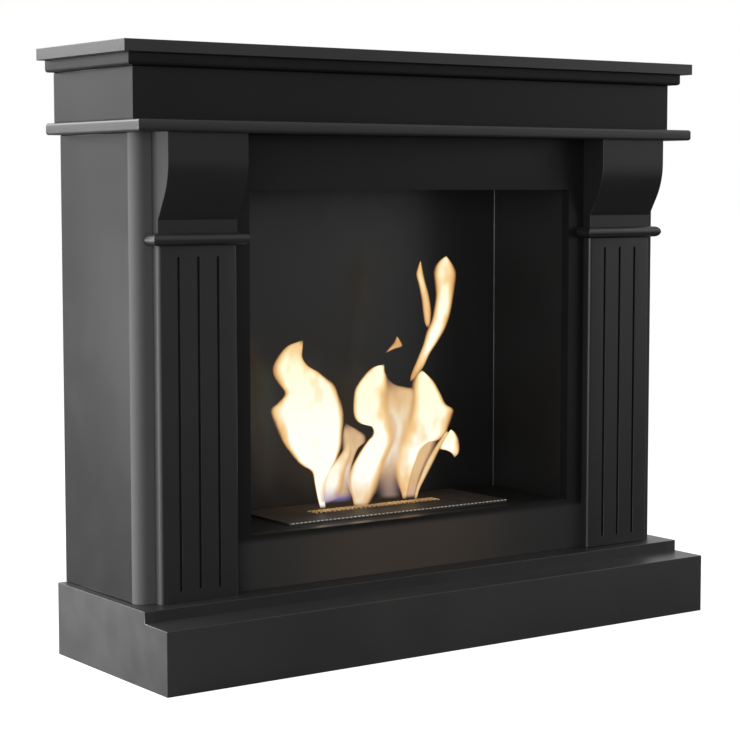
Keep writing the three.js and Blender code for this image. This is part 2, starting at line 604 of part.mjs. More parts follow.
// The burner, with heights from the firebox floor and reaches from the middle of its deck.
function buildBurner(parent) {
  const burner = group(parent, [0, -BURNER_REACH, OPENING_BOTTOM]);
  add(burner, "burner_deck", deck(), blackSteel);
  add(burner, "burner_mesh", mesh(), brightSteel);

  const tankBottom = DECK_UNDERSIDE - TANK_DEPTH;
  const lengths = [-TANK_HALF_LENGTH, TANK_HALF_LENGTH];
  const depths = [-TANK_HALF_DEPTH, TANK_HALF_DEPTH];
  const inside = ([low, high]) => [low + BURNER_SHEET, high - BURNER_SHEET];
  const outer = boxBetween(lengths, depths, [tankBottom, DECK_UNDERSIDE]);
  const hollow = boxBetween(inside(lengths), inside(depths), [tankBottom + BURNER_SHEET, 2 * DECK_HEIGHT]);
  add(burner, "burner_tank", cut(outer, [hollow]), brightSteel);

  const loose = ([low, high]) => [low + WOOL_CLEARANCE, high - WOOL_CLEARANCE];
  const woolBottom = tankBottom + BURNER_SHEET;
  const woolHeights = [woolBottom, woolBottom + WOOL_HEIGHT];
  const wool = boxBetween(loose(inside(lengths)), loose(inside(depths)), woolHeights);
  add(burner, "ceramic_wool", wool, whiteWool);

  const shutterBottom = SHUTTER_TOP - BURNER_SHEET;
  const footTop = shutterBottom - GAP;
  const guideHeights = { bottom: footTop - BURNER_SHEET, top: DECK_UNDERSIDE };
  const guideDepth = TANK_INNER_DEPTH - GUIDE_END_GAP;
  const ends = { left: SHUTTER_LEFT, right: SHUTTER_RIGHT };
  for (const [side, sign] of SIDES) {
    const legInside = ends[side] + sign * RUNNING_GAP;
    const legOutside = legInside + sign * BURNER_SHEET;
    const footInside = legInside - sign * GUIDE_FOOT;
    const section = [
      [legOutside, guideHeights.bottom],
      [legOutside, guideHeights.top],
      [legInside, guideHeights.top],
      [legInside, footTop],
      [footInside, footTop],
      [footInside, guideHeights.bottom],
    ];
    const guide = runForward(section, -guideDepth, guideDepth);
    add(burner, `shutter_guide_${side}`, guide, brightSteel);
  }
  const sliding = group(burner);
  add(sliding, "shutter", shutter(), blackSteel);
}

// Everything stands against the back plane, which lies half the plinth's depth behind the origin.
const fireplace = group(null, [0, PLINTH_FRONT / 2, 0]);
buildPlinth(fireplace);
buildBody(fireplace);
buildColumns(fireplace);
buildMantel(fireplace);
buildFirebox(fireplace);
buildBurner(fireplace);

export default fireplace;
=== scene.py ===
"""Looks of a bioethanol fireplace: painted boards with eased arrises, folded sheet steel, a lift-out
burner with its wool and expanded metal, and the flames over it.

Metres, in the frame of the CAD model: +X to the right seen from the front, +Y towards the wall, +Z up,
with the origin on the floor under the middle of the whole object.
"""

import json
import math

import bmesh
import bpy
import numpy as np
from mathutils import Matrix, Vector
from mathutils.bvhtree import BVHTree


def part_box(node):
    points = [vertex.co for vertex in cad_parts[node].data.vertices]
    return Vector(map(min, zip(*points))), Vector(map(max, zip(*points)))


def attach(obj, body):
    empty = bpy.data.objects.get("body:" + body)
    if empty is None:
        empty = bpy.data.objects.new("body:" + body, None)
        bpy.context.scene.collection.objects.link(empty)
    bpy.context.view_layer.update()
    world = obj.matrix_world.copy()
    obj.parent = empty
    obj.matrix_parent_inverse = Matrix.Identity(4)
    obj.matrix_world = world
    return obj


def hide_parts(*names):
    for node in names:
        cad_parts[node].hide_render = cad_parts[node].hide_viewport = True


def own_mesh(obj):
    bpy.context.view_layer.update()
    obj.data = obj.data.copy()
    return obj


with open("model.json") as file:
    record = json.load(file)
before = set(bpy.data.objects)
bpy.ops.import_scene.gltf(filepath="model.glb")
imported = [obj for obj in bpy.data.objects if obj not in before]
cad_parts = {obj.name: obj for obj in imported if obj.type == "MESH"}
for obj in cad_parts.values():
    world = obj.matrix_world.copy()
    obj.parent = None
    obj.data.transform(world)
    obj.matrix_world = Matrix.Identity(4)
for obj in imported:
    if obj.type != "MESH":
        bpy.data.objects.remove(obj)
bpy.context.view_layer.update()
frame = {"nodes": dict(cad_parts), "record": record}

MM = 0.001
record = frame["record"]
BODY_OF = {node: body for body, nodes in record["behaviour"]["bodies"].items() for node in nodes}
SLOT_OF = {part["node"]: part["material_slot"] for part in record["subparts"]}

# ------------------------------------------------------------
# Camera, as the photograph was taken: left of the object, a little above its middle, long lens
# ------------------------------------------------------------

CAMERA_PLACE = (-1.7676, -2.4314, 0.6596)
CAMERA_YAW = -35.297  # degrees
CAMERA_PITCH = -5.0325
CAMERA_ROLL = 0.024
CAMERA_LENS = 99.47  # millimetres, as is the sensor's width
CAMERA_SENSOR = 36.0

camera_data = bpy.data.cameras.new("photo_camera")
camera_data.lens = CAMERA_LENS
camera_data.sensor_width = CAMERA_SENSOR
camera_data.sensor_fit = "HORIZONTAL"
camera = bpy.data.objects.new("photo_camera", camera_data)
camera.location = CAMERA_PLACE
camera.rotation_euler = [math.radians(a) for a in (90 + CAMERA_PITCH, CAMERA_ROLL, CAMERA_YAW)]
bpy.context.scene.collection.objects.link(camera)
bpy.context.scene.camera = camera
bpy.context.scene.view_settings.view_transform = "Standard"

# ------------------------------------------------------------
# Shader nodes
# ------------------------------------------------------------

FLOAT, COLOUR = "NodeSocketFloat", "NodeSocketColor"


def put(tree, kind, inputs=None, **settings):
    """One node with its settings. An input is a plain value, or the output of another node."""
    node = tree.nodes.new(kind)
    for name, value in settings.items():
        setattr(node, name, value)
    for name, value in (inputs or {}).items():
        if isinstance(value, bpy.types.NodeSocket):
            tree.links.new(value, node.inputs[name])
        else:
            node.inputs[name].default_value = value
    return node


def math_node(tree, operation, a, b=0.0):
    """The result of one operation on a, or on a and b."""
    return put(tree, "ShaderNodeMath", {0: a, 1: b}, operation=operation).outputs[0]


def times(tree, a, b):
    """a * b"""
    return math_node(tree, "MULTIPLY", a, b)


def plus(tree, a, b):
    """a + b"""
    return math_node(tree, "ADD", a, b)


def minus(tree, a, b):
    """a - b"""
    return math_node(tree, "SUBTRACT", a, b)


def between(tree, share, low, high):
    """low + share * (high - low)"""
    return plus(tree, low, times(tree, share, minus(tree, high, low)))


def mix_colours(tree, share, a, b):
    """The colour a at share 0, the colour b at share 1, and a blend between."""
    return put(tree, "ShaderNodeMix", {0: share, 6: a, 7: b}, data_type="RGBA").outputs[2]


def remap(tree, value, from_low, from_high, to_low=0.0, to_high=1.0, smooth=True):
    """to_low at from_low and to_high at from_high, held level beyond both. Between them it eases in
    and out, or runs straight if it isn't smooth."""
    kind = "SMOOTHSTEP" if smooth else "LINEAR"
    inputs = {0: value, 1: from_low, 2: from_high, 3: to_low, 4: to_high}
    return put(tree, "ShaderNodeMapRange", inputs, interpolation_type=kind).outputs[0]


def noise(tree, scale, detail=2.0, vector=None, roughness=0.5):
    """A value of about 0.5 that wanders over the surface, on Object coordinates."""
    vector = vector or put(tree, "ShaderNodeTexCoord").outputs["Object"]
    inputs = {"Vector": vector, "Scale": scale, "Detail": detail, "Roughness": roughness}
    return put(tree, "ShaderNodeTexNoise", inputs).outputs[0]


def object_axes(tree):
    """The X, Y and Z of Object coordinates, each a value of its own."""
    place = put(tree, "ShaderNodeTexCoord").outputs["Object"]
    return put(tree, "ShaderNodeSeparateXYZ", {0: place}).outputs


def stretched(tree, scales):
    """Object coordinates with each axis scaled on its own."""
    inputs = {"Vector": put(tree, "ShaderNodeTexCoord").outputs["Object"], "Scale": scales}
    return put(tree, "ShaderNodeMapping", inputs).outputs[0]


def new_group(name, inputs, outputs):
    """A shader group with its sockets: inputs are (name, kind, default) and outputs (name, kind)."""
    tree = bpy.data.node_groups.new(name, "ShaderNodeTree")
    for label, kind, default in inputs:
        tree.interface.new_socket(label, in_out="INPUT", socket_type=kind).default_value = default
    for label, kind in outputs:
        tree.interface.new_socket(label, in_out="OUTPUT", socket_type=kind)
    return tree, put(tree, "NodeGroupInput").outputs


def group_tone():
    """A colour that drifts between two tones, with a pale dusting on the faces that look up; the dusting is
    partly painted light, making the tops lighter as light from above does.
    """
    tree, given = new_group(
        "tone",
        [("Tone A", COLOUR, (0, 0, 0, 1)), ("Tone B", COLOUR, (0, 0, 0, 1)), ("Scale", FLOAT, 5.0),
         ("Dusting And Top Light Tone", COLOUR, (0.3, 0.3, 0.3, 1)), ("Dusting And Top Light", FLOAT, 0.0)],
        [("Colour", COLOUR)],
    )
    drift = remap(tree, noise(tree, given["Scale"], 4.0), 0.3, 0.7)
    clean = mix_colours(tree, drift, given["Tone A"], given["Tone B"])
    normal = put(tree, "ShaderNodeNewGeometry").outputs["Normal"]
    up = put(tree, "ShaderNodeSeparateXYZ", {0: normal}).outputs["Z"]
    patches = remap(tree, noise(tree, 38.0, 6.0, roughness=0.7), 0.2, 0.8, 0.5, 1.0)
    # Pale dusting on the faces that look up, partly painted light that lightens the tops.
    dusting_and_top_light = times(tree, times(tree, remap(tree, up, 0.6, 1.0), patches), given["Dusting And Top Light"])
    dusted_and_lit = mix_colours(tree, dusting_and_top_light, clean, given["Dusting And Top Light Tone"])
    put(tree, "NodeGroupOutput", {"Colour": dusted_and_lit})
    return tree


def group_sheen():
    """A roughness that wanders between two values, with finer smudges in it."""
    tree, given = new_group(
        "sheen",
        [("Low", FLOAT, 0.3), ("High", FLOAT, 0.5), ("Scale", FLOAT, 5.0)],
        [("Roughness", FLOAT)],
    )
    broad = times(tree, noise(tree, given["Scale"], 3.0), 0.7)
    fine = times(tree, noise(tree, times(tree, given["Scale"], 9.0), 4.0), 0.3)
    share = remap(tree, plus(tree, broad, fine), 0.35, 0.65)
    put(tree, "NodeGroupOutput", {"Roughness": between(tree, share, given["Low"], given["High"])})
    return tree


def group_skin():
    """The height, in metres, of a sprayed or pressed surface: a fine peel and a broad waviness."""
    tree, given = new_group(
        "skin",
        [("Peel Scale", FLOAT, 500.0), ("Peel Height", FLOAT, 1e-5),
         ("Wave Scale", FLOAT, 4.0), ("Wave Height", FLOAT, 1e-4)],
        [("Height", FLOAT)],
    )
    peel = times(tree, noise(tree, given["Peel Scale"], 2.0), given["Peel Height"])
    wave = times(tree, noise(tree, given["Wave Scale"], 1.0), given["Wave Height"])
    put(tree, "NodeGroupOutput", {"Height": plus(tree, peel, wave)})
    return tree


def group_brushing():
    """Fine lines along X, as on brushed sheet: a height in metres and a roughness."""
    tree, given = new_group(
        "brushing",
        [("Line Height", FLOAT, 2e-6), ("Low", FLOAT, 0.25), ("High", FLOAT, 0.45)],
        [("Height", FLOAT), ("Roughness", FLOAT)],
    )
    lines = noise(tree, 1.0, 3.0, vector=stretched(tree, (12.0, 1800.0, 1800.0)))
    roughness = between(tree, lines, given["Low"], given["High"])
    height = times(tree, lines, given["Line Height"])
    put(tree, "NodeGroupOutput", {"Height": height, "Roughness": roughness})
    return tree


GROUPS = {
    "tone": group_tone(),
    "sheen": group_sheen(),
    "skin": group_skin(),
    "brushing": group_brushing(),
}


def place_group(tree, name, inputs):
    """One shared group placed in a material, with that material's own values."""
    node = put(tree, "ShaderNodeGroup", None, node_tree=GROUPS[name])
    for label, value in inputs.items():
        node.inputs[label].default_value = value
    return node.outputs


def rgb(r, g, b):
    """A colour in linear light, with its alpha."""
    return (r, g, b, 1.0)


def new_material(name, plain):
    """A material with one Principled shader, whose even values are set on its own sockets."""
    material = bpy.data.materials.new(name)
    material.use_nodes = True
    tree = material.node_tree
    shader = tree.nodes["Principled BSDF"]
    for socket, value in plain.items():
        shader.inputs[socket].default_value = value
    return material, tree, shader


def wire(tree, shader, colour=None, roughness=None, height=None):
    """Links a colour, a roughness and a height in metres to the shader."""
    if colour is not None:
        tree.links.new(colour, shader.inputs["Base Color"])
    if roughness is not None:
        tree.links.new(roughness, shader.inputs["Roughness"])
    if height is not None:
        bump = put(tree, "ShaderNodeBump", {"Height": height, "Distance": 1.0, "Strength": 1.0})
        tree.links.new(bump.outputs[0], shader.inputs["Normal"])


def insides(material):
    """A wired material's tree and shader, and what feeds its colour and its roughness."""
    tree = material.node_tree
    shader = tree.nodes["Principled BSDF"]
    fed = [shader.inputs[name].links[0].from_socket for name in ("Base Color", "Roughness")]
    return tree, shader, *fed


# ------------------------------------------------------------
# Materials
# ------------------------------------------------------------

BOARD_GLOSS = 0.138
BOARD_TONES = (0.0042, 0.0056)  # the darker and the lighter of the boards' paint
# Painted light: a paler tone on the front board below the opening, warm in front of the burner, stands in
# for the glow of the flames there.
PAINTED_GLOW_TONE = (0.024, 0.0235, 0.023)  # on the front board below the opening
WARM_PAINTED_GLOW_TONE = (0.050, 0.040, 0.032)
PAINTED_GLOW_MIDDLE = -20 * MM  # the burner's flames stand a little left of the middle
DECK_GLINT_STROKE = 7.2 * MM  # from one bright stroke on the deck's rim to the next
SCREEN_PITCH = 1.6 * MM  # of the wires whose print is in the hardboard


def coated(name, plain, tone, sheen, skin):
    """A material with the shared groups. Its tone is (darker, lighter, scale), and then the tone and
    amount of its dusting on the faces that look up, which is partly painted light. Its sheen is (low, high,
    scale), and its skin is the peel's scale and height and the waves' scale and height."""
    material, tree, shader = new_material(name, plain)
    dark, light, scale, *dusting_and_top_light = tone
    tones = {"Tone A": rgb(*dark), "Tone B": rgb(*light), "Scale": scale}
    if dusting_and_top_light:
        tones |= {"Dusting And Top Light Tone": rgb(*dusting_and_top_light[0]), "Dusting And Top Light": dusting_and_top_light[1]}
    sheens = dict(zip(("Low", "High", "Scale"), sheen))
    skins = dict(zip(("Peel Scale", "Peel Height", "Wave Scale", "Wave Height"), skin))
    colour = place_group(tree, "tone", tones)["Colour"]
    roughness = place_group(tree, "sheen", sheens)["Roughness"]
    wire(tree, shader, colour, roughness, place_group(tree, "skin", skins)["Height"])
    return material


def black_paint(name, gloss, dark, light):
    """Satin black paint on fibreboard. Its copies on the mouldings, shelf, plinth and ledge are glossier
    and paler than on the flat boards; their paler tones are painted light, standing in for the light on the
    parts that stand out.
    """
    tone = ((dark, dark, dark * 1.04), (light, light, light * 1.03), 3.2, (0.09, 0.088, 0.085), 0.10)
    return coated(name, {"Specular IOR Level": gloss}, tone, (0.31, 0.40, 2.6), (420.0, 8e-6, 7.0, 1.0e-4))


def routed_and_painted_light_corners(material, start, tone, roughness):
    """Further out than the start, to the left and right, the router leaves the paint rougher, and the
    colour there turns to the given tone, a painted light that stands in for the light on those corners: the
    corner share goes from 0 to 1 over 1 mm, the colour changes by that share, and roughness = the greater
    of the sheen and the corner share * its own."""
    tree, shader, colour, sheen = insides(material)
    aside = math_node(tree, "ABSOLUTE", object_axes(tree)["X"])
    corner_share = remap(tree, aside, start, start + 1 * MM)
    rough = math_node(tree, "MAXIMUM", sheen, times(tree, corner_share, roughness))
    # The colour's turn to the given tone is painted light.
    wire(tree, shader, mix_colours(tree, corner_share, colour, tone), rough)
    return material


def front_paint():
    """The front board's paint. Below the opening a painted glow stands in for the flames' light: a paler
    tone, warm in front of the burner.
    Its rounded outer corners come from the router, which leaves the paint on them rougher, and they are
    painted greyer, which stands in for the light on them."""
    material = black_paint("satin_black_front", BOARD_GLOSS, *BOARD_TONES)
    tree, shader, plain, _ = insides(material)
    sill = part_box("firebox_floor")[1].z
    place = object_axes(tree)
    # The painted glow below the opening, warmest in front of the burner.
    aside = math_node(tree, "ABSOLUTE", minus(tree, place["X"], PAINTED_GLOW_MIDDLE))
    below = remap(tree, place["Z"], sill - 3 * MM, sill - 14 * MM)
    below = times(tree, below, remap(tree, aside, 0.40, 0.36))
    painted_glow = mix_colours(tree, remap(tree, aside, 0.05, 0.26), rgb(*WARM_PAINTED_GLOW_TONE), rgb(*PAINTED_GLOW_TONE))
    wire(tree, shader, mix_colours(tree, below, plain, painted_glow))
    # The corners' greyer tone is painted light.
    return routed_and_painted_light_corners(material, 0.425, rgb(0.047, 0.047, 0.048), 0.85)


def column_paint():
    """The pilasters' paint, rougher on their outer faces and the rounded edges next to them, and painted
    greyer there, which stands in for the light on them.
    """
    material = black_paint("satin_black_mouldings", 0.31, 0.0066, 0.0086)
    start = -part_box("pilaster_left")[0].x - 4.5 * MM
    # The pilasters' greyer tone on their outer faces and edges is painted light.
    return routed_and_painted_light_corners(material, start, rgb(0.013, 0.013, 0.0135), 0.60)


def bracket_paint():
    """The corbels' paint, rougher on their outer faces."""
    material = black_paint("satin_black_brackets", 0.27, 0.0056, 0.0074)
    start = -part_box("corbel_left")[0].x - 1.2 * MM
    return routed_and_painted_light_corners(material, start, rgb(0.0066, 0.0066, 0.0068), 0.75)


def black_steel():
    """Gloss black heat-proof paint on sheet steel."""
    tone = ((0.0046, 0.0045, 0.0046), (0.0064, 0.0062, 0.0061), 4.0, (0.09, 0.085, 0.08), 0.06)
    skin = (300.0, 3e-6, 3.0, 5e-4)
    return coated("gloss_black_enamel", {"Specular IOR Level": 0.44}, tone, (0.30, 0.37, 3.5), skin)


def matt_steel():
    """Matt black heat-proof paint on the firebox's floor."""
    tone = ((0.0040, 0.0038, 0.0036), (0.0054, 0.0050, 0.0048), 7.0, (0.05, 0.047, 0.042), 0.05)
    skin = (600.0, 1e-5, 3.0, 3e-4)
    return coated("matt_black_floor", {"Specular IOR Level": 0.12}, tone, (0.55, 0.68, 5.0), skin)


def deck_paint():
    """Matt black on the burner's deck. Its front rim's arris is bare steel in short strokes, bright and
    dull by turns: the bright strokes are a painted glint, on top of the arris's real reflection.
    """
    tone = ((0.021, 0.020, 0.018), (0.030, 0.028, 0.025), 16.0, (0.10, 0.085, 0.07), 0.12)
    skin = (700.0, 1.5e-5, 6.0, 5e-5)
    material = coated("matt_black_deck", {"Specular IOR Level": 0.22}, tone, (0.52, 0.64, 9.0), skin)
    tree, shader, colour, sheen = insides(material)
    low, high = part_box("burner_deck")
    place = object_axes(tree)
    rim = remap(tree, place["Y"], low.y + 1.2 * MM, low.y + 0.8 * MM)
    arris = times(tree, rim, remap(tree, place["Z"], high.z - 1.3 * MM, high.z - 0.9 * MM))
    # Painted glint: the bare arris's colour runs in bright and dull strokes along the rim.
    strokes = math_node(tree, "SINE", times(tree, place["X"], 2 * math.pi / DECK_GLINT_STROKE))
    metal = mix_colours(tree, remap(tree, strokes, -0.9, 0.4), rgb(0.16, 0.15, 0.12), rgb(0.90, 0.88, 0.80))
    colour = mix_colours(tree, rim, colour, rgb(0.045, 0.041, 0.030))
    rough = minus(tree, sheen, times(tree, arris, 0.26))
    wire(tree, shader, mix_colours(tree, arris, colour, metal), rough)
    tree.links.new(arris, shader.inputs["Metallic"])
    return material


def heated_steel():
    """Stainless steel that the flames have turned straw yellow."""
    tone = ((0.68, 0.51, 0.27), (0.50, 0.38, 0.21), 30.0)
    skin = (900.0, 2e-5, 60.0, 4e-5)
    return coated("straw_stainless", {"Metallic": 0.45}, tone, (0.22, 0.42, 60.0), skin)


def zinc():
    """Bright zinc plating with a faint blue and yellow cast."""
    tone = ((0.52, 0.54, 0.58), (0.60, 0.56, 0.46), 160.0)
    skin = (1600.0, 6e-6, 200.0, 2e-5)
    return coated("bright_zinc", {"Metallic": 1.0}, tone, (0.25, 0.40, 220.0), skin)


def bright_steel():
    """Satin stainless sheet, brushed along its length."""
    material, tree, shader = new_material("satin_stainless", {"Metallic": 1.0})
    tone = place_group(tree, "tone", {
        "Tone A": rgb(0.50, 0.48, 0.44), "Tone B": rgb(0.60, 0.57, 0.52), "Scale": 14.0})
    brushing = place_group(tree, "brushing", {"Line Height": 4e-6, "Low": 0.24, "High": 0.46})
    wire(tree, shader, tone["Colour"], brushing["Roughness"], brushing["Height"])
    return material


def wool():
    """White ceramic fibre: matted strands with a little soot."""
    material, tree, shader = new_material("ceramic_fibre", {"Roughness": 0.95, "Specular IOR Level": 0.15})
    tone = place_group(tree, "tone", {
        "Tone A": rgb(0.78, 0.75, 0.69), "Tone B": rgb(0.62, 0.58, 0.51), "Scale": 60.0})
    long_strands = noise(tree, 1.0, 4.0, vector=stretched(tree, (90.0, 900.0, 900.0)))
    cross_strands = noise(tree, 1.0, 4.0, vector=stretched(tree, (800.0, 110.0, 800.0)))
    matted = math_node(tree, "MAXIMUM", long_strands, cross_strands)
    height = times(tree, matted, 7e-4)
    wire(tree, shader, tone["Colour"], None, height)
    return material


def hardboard():
    """Brown hardboard, mottled, with the print of the press's wire screen."""
    material, tree, shader = new_material("brown_hardboard", {"Specular IOR Level": 0.3})
    tone = place_group(tree, "tone", {
        "Tone A": rgb(0.112, 0.065, 0.036), "Tone B": rgb(0.094, 0.055, 0.031), "Scale": 55.0})
    sheen = place_group(tree, "sheen", {"Low": 0.62, "High": 0.80, "Scale": 12.0})
    flecks = remap(tree, noise(tree, 1.0, 5.0, vector=stretched(tree, (700.0, 700.0, 260.0))), 0.55, 0.75)
    colour = mix_colours(tree, flecks, tone["Colour"], rgb(0.19, 0.12, 0.07))
    place = object_axes(tree)
    wires = [math_node(tree, "SINE", times(tree, place[axis], 2 * math.pi / SCREEN_PITCH)) for axis in "XZ"]
    screen = times(tree, times(tree, wires[0], wires[1]), 3e-5)
    wire(tree, shader, colour, sheen["Roughness"], screen)
    return material


def softwood():
    """Sawn softwood with its grain along Z."""
    material, tree, shader = new_material("sawn_softwood", {"Roughness": 0.78, "Specular IOR Level": 0.25})
    warp = noise(tree, 1.0, 3.0, vector=stretched(tree, (26.0, 26.0, 2.2)))
    rings = math_node(tree, "FRACT", times(tree, warp, 13.0))
    colour = mix_colours(tree, remap(tree, rings, 0.55, 1.0), rgb(0.62, 0.43, 0.23), rgb(0.40, 0.22, 0.095))
    fibres = noise(tree, 1.0, 4.0, vector=stretched(tree, (1500.0, 1500.0, 40.0)))
    wire(tree, shader, colour, None, times(tree, fibres, 1.2e-4))
    return material


MATERIALS = {
    "painted_board": black_paint("satin_black_boards", BOARD_GLOSS, *BOARD_TONES),
    "raw_batten": softwood(),
    "back_board": hardboard(),
    "black_steel": black_steel(),
    "bright_steel": bright_steel(),
    "ceramic_wool": wool(),
    "zinc_screw": zinc(),
}
STRAW_STEEL = heated_steel()
# The glossier, paler copies of the black paint below are painted light and shade: lighter on the parts that
# stand out, darker on the recessed boards.
FINISHES = [
    (column_paint(), ["pilaster_left", "pilaster_right"]),
    (bracket_paint(), ["corbel_left", "corbel_right"]),
    (black_paint("satin_black_shelf", 0.36, 0.0060, 0.0080),
     ["capital_left", "capital_right", "mantel_rail", "mantel_shelf"]),
    (black_paint("satin_black_plinth", 0.54, 0.0064, 0.0084),
     ["plinth_front", "plinth_side_left", "plinth_side_right", "plinth_tread"]),
    (black_paint("satin_black_ledge", 0.45, 0.0056, 0.0074), ["plinth_ledge"]),
    (front_paint(), ["front_panel"]),
    (deck_paint(), ["burner_deck"]),
    (matt_steel(), ["firebox_floor"]),
]
FINISH_OF = {node: material for material, nodes in FINISHES for node in nodes}

for node, cad_object in frame["nodes"].items():
    cad_object.data.materials.clear()
    cad_object.data.materials.append(MATERIALS[SLOT_OF[node]])

# ------------------------------------------------------------
# Making a piece
# ------------------------------------------------------------


def new_piece(name, mesh, material, body, replaced=()):
    """A mesh in its place becomes a piece that rides on a body and stands for CAD nodes."""
    mesh.materials.clear()
    mesh.materials.append(material)
    piece = bpy.data.objects.new(name, mesh)
    bpy.context.scene.collection.objects.link(piece)
    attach(piece, body)
    if replaced:
        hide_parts(*replaced)
    return piece


def grid_faces(rows, columns):
    """Quads of a grid of points, row by row. Its last column joins its first."""
    across = np.arange(columns)
    along = np.arange(rows - 1)[:, None] * columns
    following = (across + 1) % columns
    quads = [along + across, along + following, along + columns + following, along + columns + across]
    return np.stack(quads, axis=-1).reshape(-1, 4)


def tube_faces(rows, columns):
    """The faces of a closed tube of rings, with one face over each end."""
    first = list(range(columns))
    last = [(rows - 1) * columns + i for i in range(columns)]
    return [list(face) for face in grid_faces(rows, columns)] + [first[::-1], last]


def surface_mesh(name, parts, smooth=True):
    """A mesh of several (points, faces) parts. Points are N by 3 and faces are lists of indices."""
    mesh = bpy.data.meshes.new(name)
    points, faces, start = [], [], 0
    for part_points, part_faces in parts:
        points.append(np.asarray(part_points, float))
        faces.extend([[int(i) + start for i in face] for face in part_faces])
        start += len(part_points)
    mesh.from_pydata(np.concatenate(points).tolist(), [], faces)
    mesh.polygons.foreach_set("use_smooth", [smooth] * len(mesh.polygons))
    mesh.update()
    return mesh


def face_outwards(mesh):
    """Turns the faces of each closed shell outwards."""
    work = bmesh.new()
    work.from_mesh(mesh)
    bmesh.ops.recalc_face_normals(work, faces=work.faces)
    work.to_mesh(mesh)
    work.free()


# ------------------------------------------------------------
# Boards and sheets: copies of the CAD nodes with their free arrises eased
# ------------------------------------------------------------

BOARD_EASE = 0.7 * MM  # the radius of an arris that is rounded over
PILASTER_EASE = 3.2 * MM  # a column's own upright edges
SEAM_EASE = 1.3 * MM  # an arris that lies on its neighbour, which leaves a dark line between the two
SEAMED = ("pilaster_left", "pilaster_right", "side_panel_left", "side_panel_right", "front_panel",
          "frieze_front", "frieze_end_left", "frieze_end_right", "under_shelf")
SHEET_EASE = 0.35 * MM
FOLD_EASE = 0.9 * MM  # the outside of a fold in thin sheet
BATTEN_EASE = 1.2 * MM
WIDEST_EASE = 4.0 * MM  # for which the bevel's weight is 1
ARRIS_STEPS = 3
WELD = 0.002 * MM  # corners nearer than this are one corner
FLAT = math.radians(0.4)  # faces that meet at less than this are one face
ARRIS = math.radians(28)  # the least turn of an arris
SHARP = math.radians(40)
TOUCH = 0.36 * MM  # a neighbour this near covers an arris
ALONG_ARRIS = (0.1, 0.3, 0.5, 0.7, 0.9)
MOST_OF_ARRIS = 3  # of those places
EASE_OF = {
    "painted_board": BOARD_EASE,
    "raw_batten": BATTEN_EASE,
    "back_board": SHEET_EASE,
    "black_steel": SHEET_EASE,
    "bright_steel": SHEET_EASE,
}

trees = {}
for node, cad_object in frame["nodes"].items():
    corners = [v.co.copy() for v in cad_object.data.vertices]
    trees[node] = BVHTree.FromPolygons(corners, [list(p.vertices) for p in cad_object.data.polygons])


def near_nodes(node):
    """The nodes of the same body whose boxes come within a touch of this one's."""
    low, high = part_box(node)
    found = []
    for other in trees:
        other_low, other_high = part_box(other)
        apart = any(other_low[i] > high[i] + TOUCH or other_high[i] < low[i] - TOUCH for i in range(3))
        if other != node and BODY_OF[other] == BODY_OF[node] and not apart:
            found.append(trees[other])
    return found


def is_covered(edge, neighbours):
    """True if a neighbour meets most of this arris, so that paint or a fold hides it."""
    a, b = (v.co for v in edge.verts)
    samples = [a.lerp(b, share) for share in ALONG_ARRIS]
    met = sum(any(t.find_nearest(p, TOUCH)[0] is not None for t in neighbours) for p in samples)
    return met >= MOST_OF_ARRIS


def ease_width(node, edge, free, usual):
    """How far an arris is rounded over. A covered one stays sharp, but for the seams' own."""
    a, b = (v.co for v in edge.verts)
    level = abs(a.z - b.z) < WELD
    column = node.startswith("pilaster")
    if not free:
        return SEAM_EASE if node in SEAMED and (level or column) else 0.0
    low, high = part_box(node)
    outer = min(abs(a.x - low.x), abs(a.x - high.x)) < WELD
    return PILASTER_EASE if column and outer and not level else usual


def eased_mesh(node, usual):
    """A copy of a node's mesh with its doubles merged and its flat faces whole. Each arris that is
    rounded over carries its width as a bevel weight, and every other sharp edge is marked sharp."""
    work = bmesh.new()
    work.from_mesh(frame["nodes"][node].data)
    bmesh.ops.remove_doubles(work, verts=work.verts, dist=WELD)
    bmesh.ops.dissolve_limit(work, angle_limit=FLAT, verts=work.verts, edges=work.edges)
    neighbours = near_nodes(node)
    weights = work.edges.layers.float.new("bevel_weight_edge")
    for face in work.faces:
        face.smooth = True
    for edge in work.edges:
        if len(edge.link_faces) != 2 or abs(edge.calc_face_angle()) < ARRIS:
            continue
        width = 0.0
        if edge.is_convex:
            width = ease_width(node, edge, not is_covered(edge, neighbours), usual)
        edge[weights] = width / WIDEST_EASE
        edge.smooth = width > 0
    mesh = bpy.data.meshes.new(node + "_eased")
    work.to_mesh(mesh)
    work.free()
    for extra in [a.name for a in mesh.attributes if a.name == "custom_normal"]:
        mesh.attributes.remove(mesh.attributes[extra])
    return mesh


def eased_piece(node, width=None, material=None):
    """The node's finished piece: arrises rounded over, flat faces shaded flat."""
    slot = SLOT_OF[node]
    mesh = eased_mesh(node, width or EASE_OF[slot])
    piece = new_piece(node + "_eased", mesh, material or MATERIALS[slot], BODY_OF[node], [node])
    bevel = piece.modifiers.new("arris", "BEVEL")
    bevel.limit_method = "WEIGHT"
    bevel.width = WIDEST_EASE
    bevel.segments = ARRIS_STEPS
    bevel.harden_normals = True
    return piece


OWN_SHAPE = ("burner_mesh", "ceramic_wool")
FOLDED = ("burner_deck", "burner_tank", "shutter_guide_left", "shutter_guide_right")
for node, slot in SLOT_OF.items():
    if slot == "zinc_screw" or node in OWN_SHAPE:
        continue
    eased_piece(node, FOLD_EASE if node in FOLDED else None, FINISH_OF.get(node))

# ------------------------------------------------------------
# Weld beads up the firebox's back corners
# ------------------------------------------------------------

BEAD = 1.8 * MM
BEAD_POINTS = 7  # on its round face


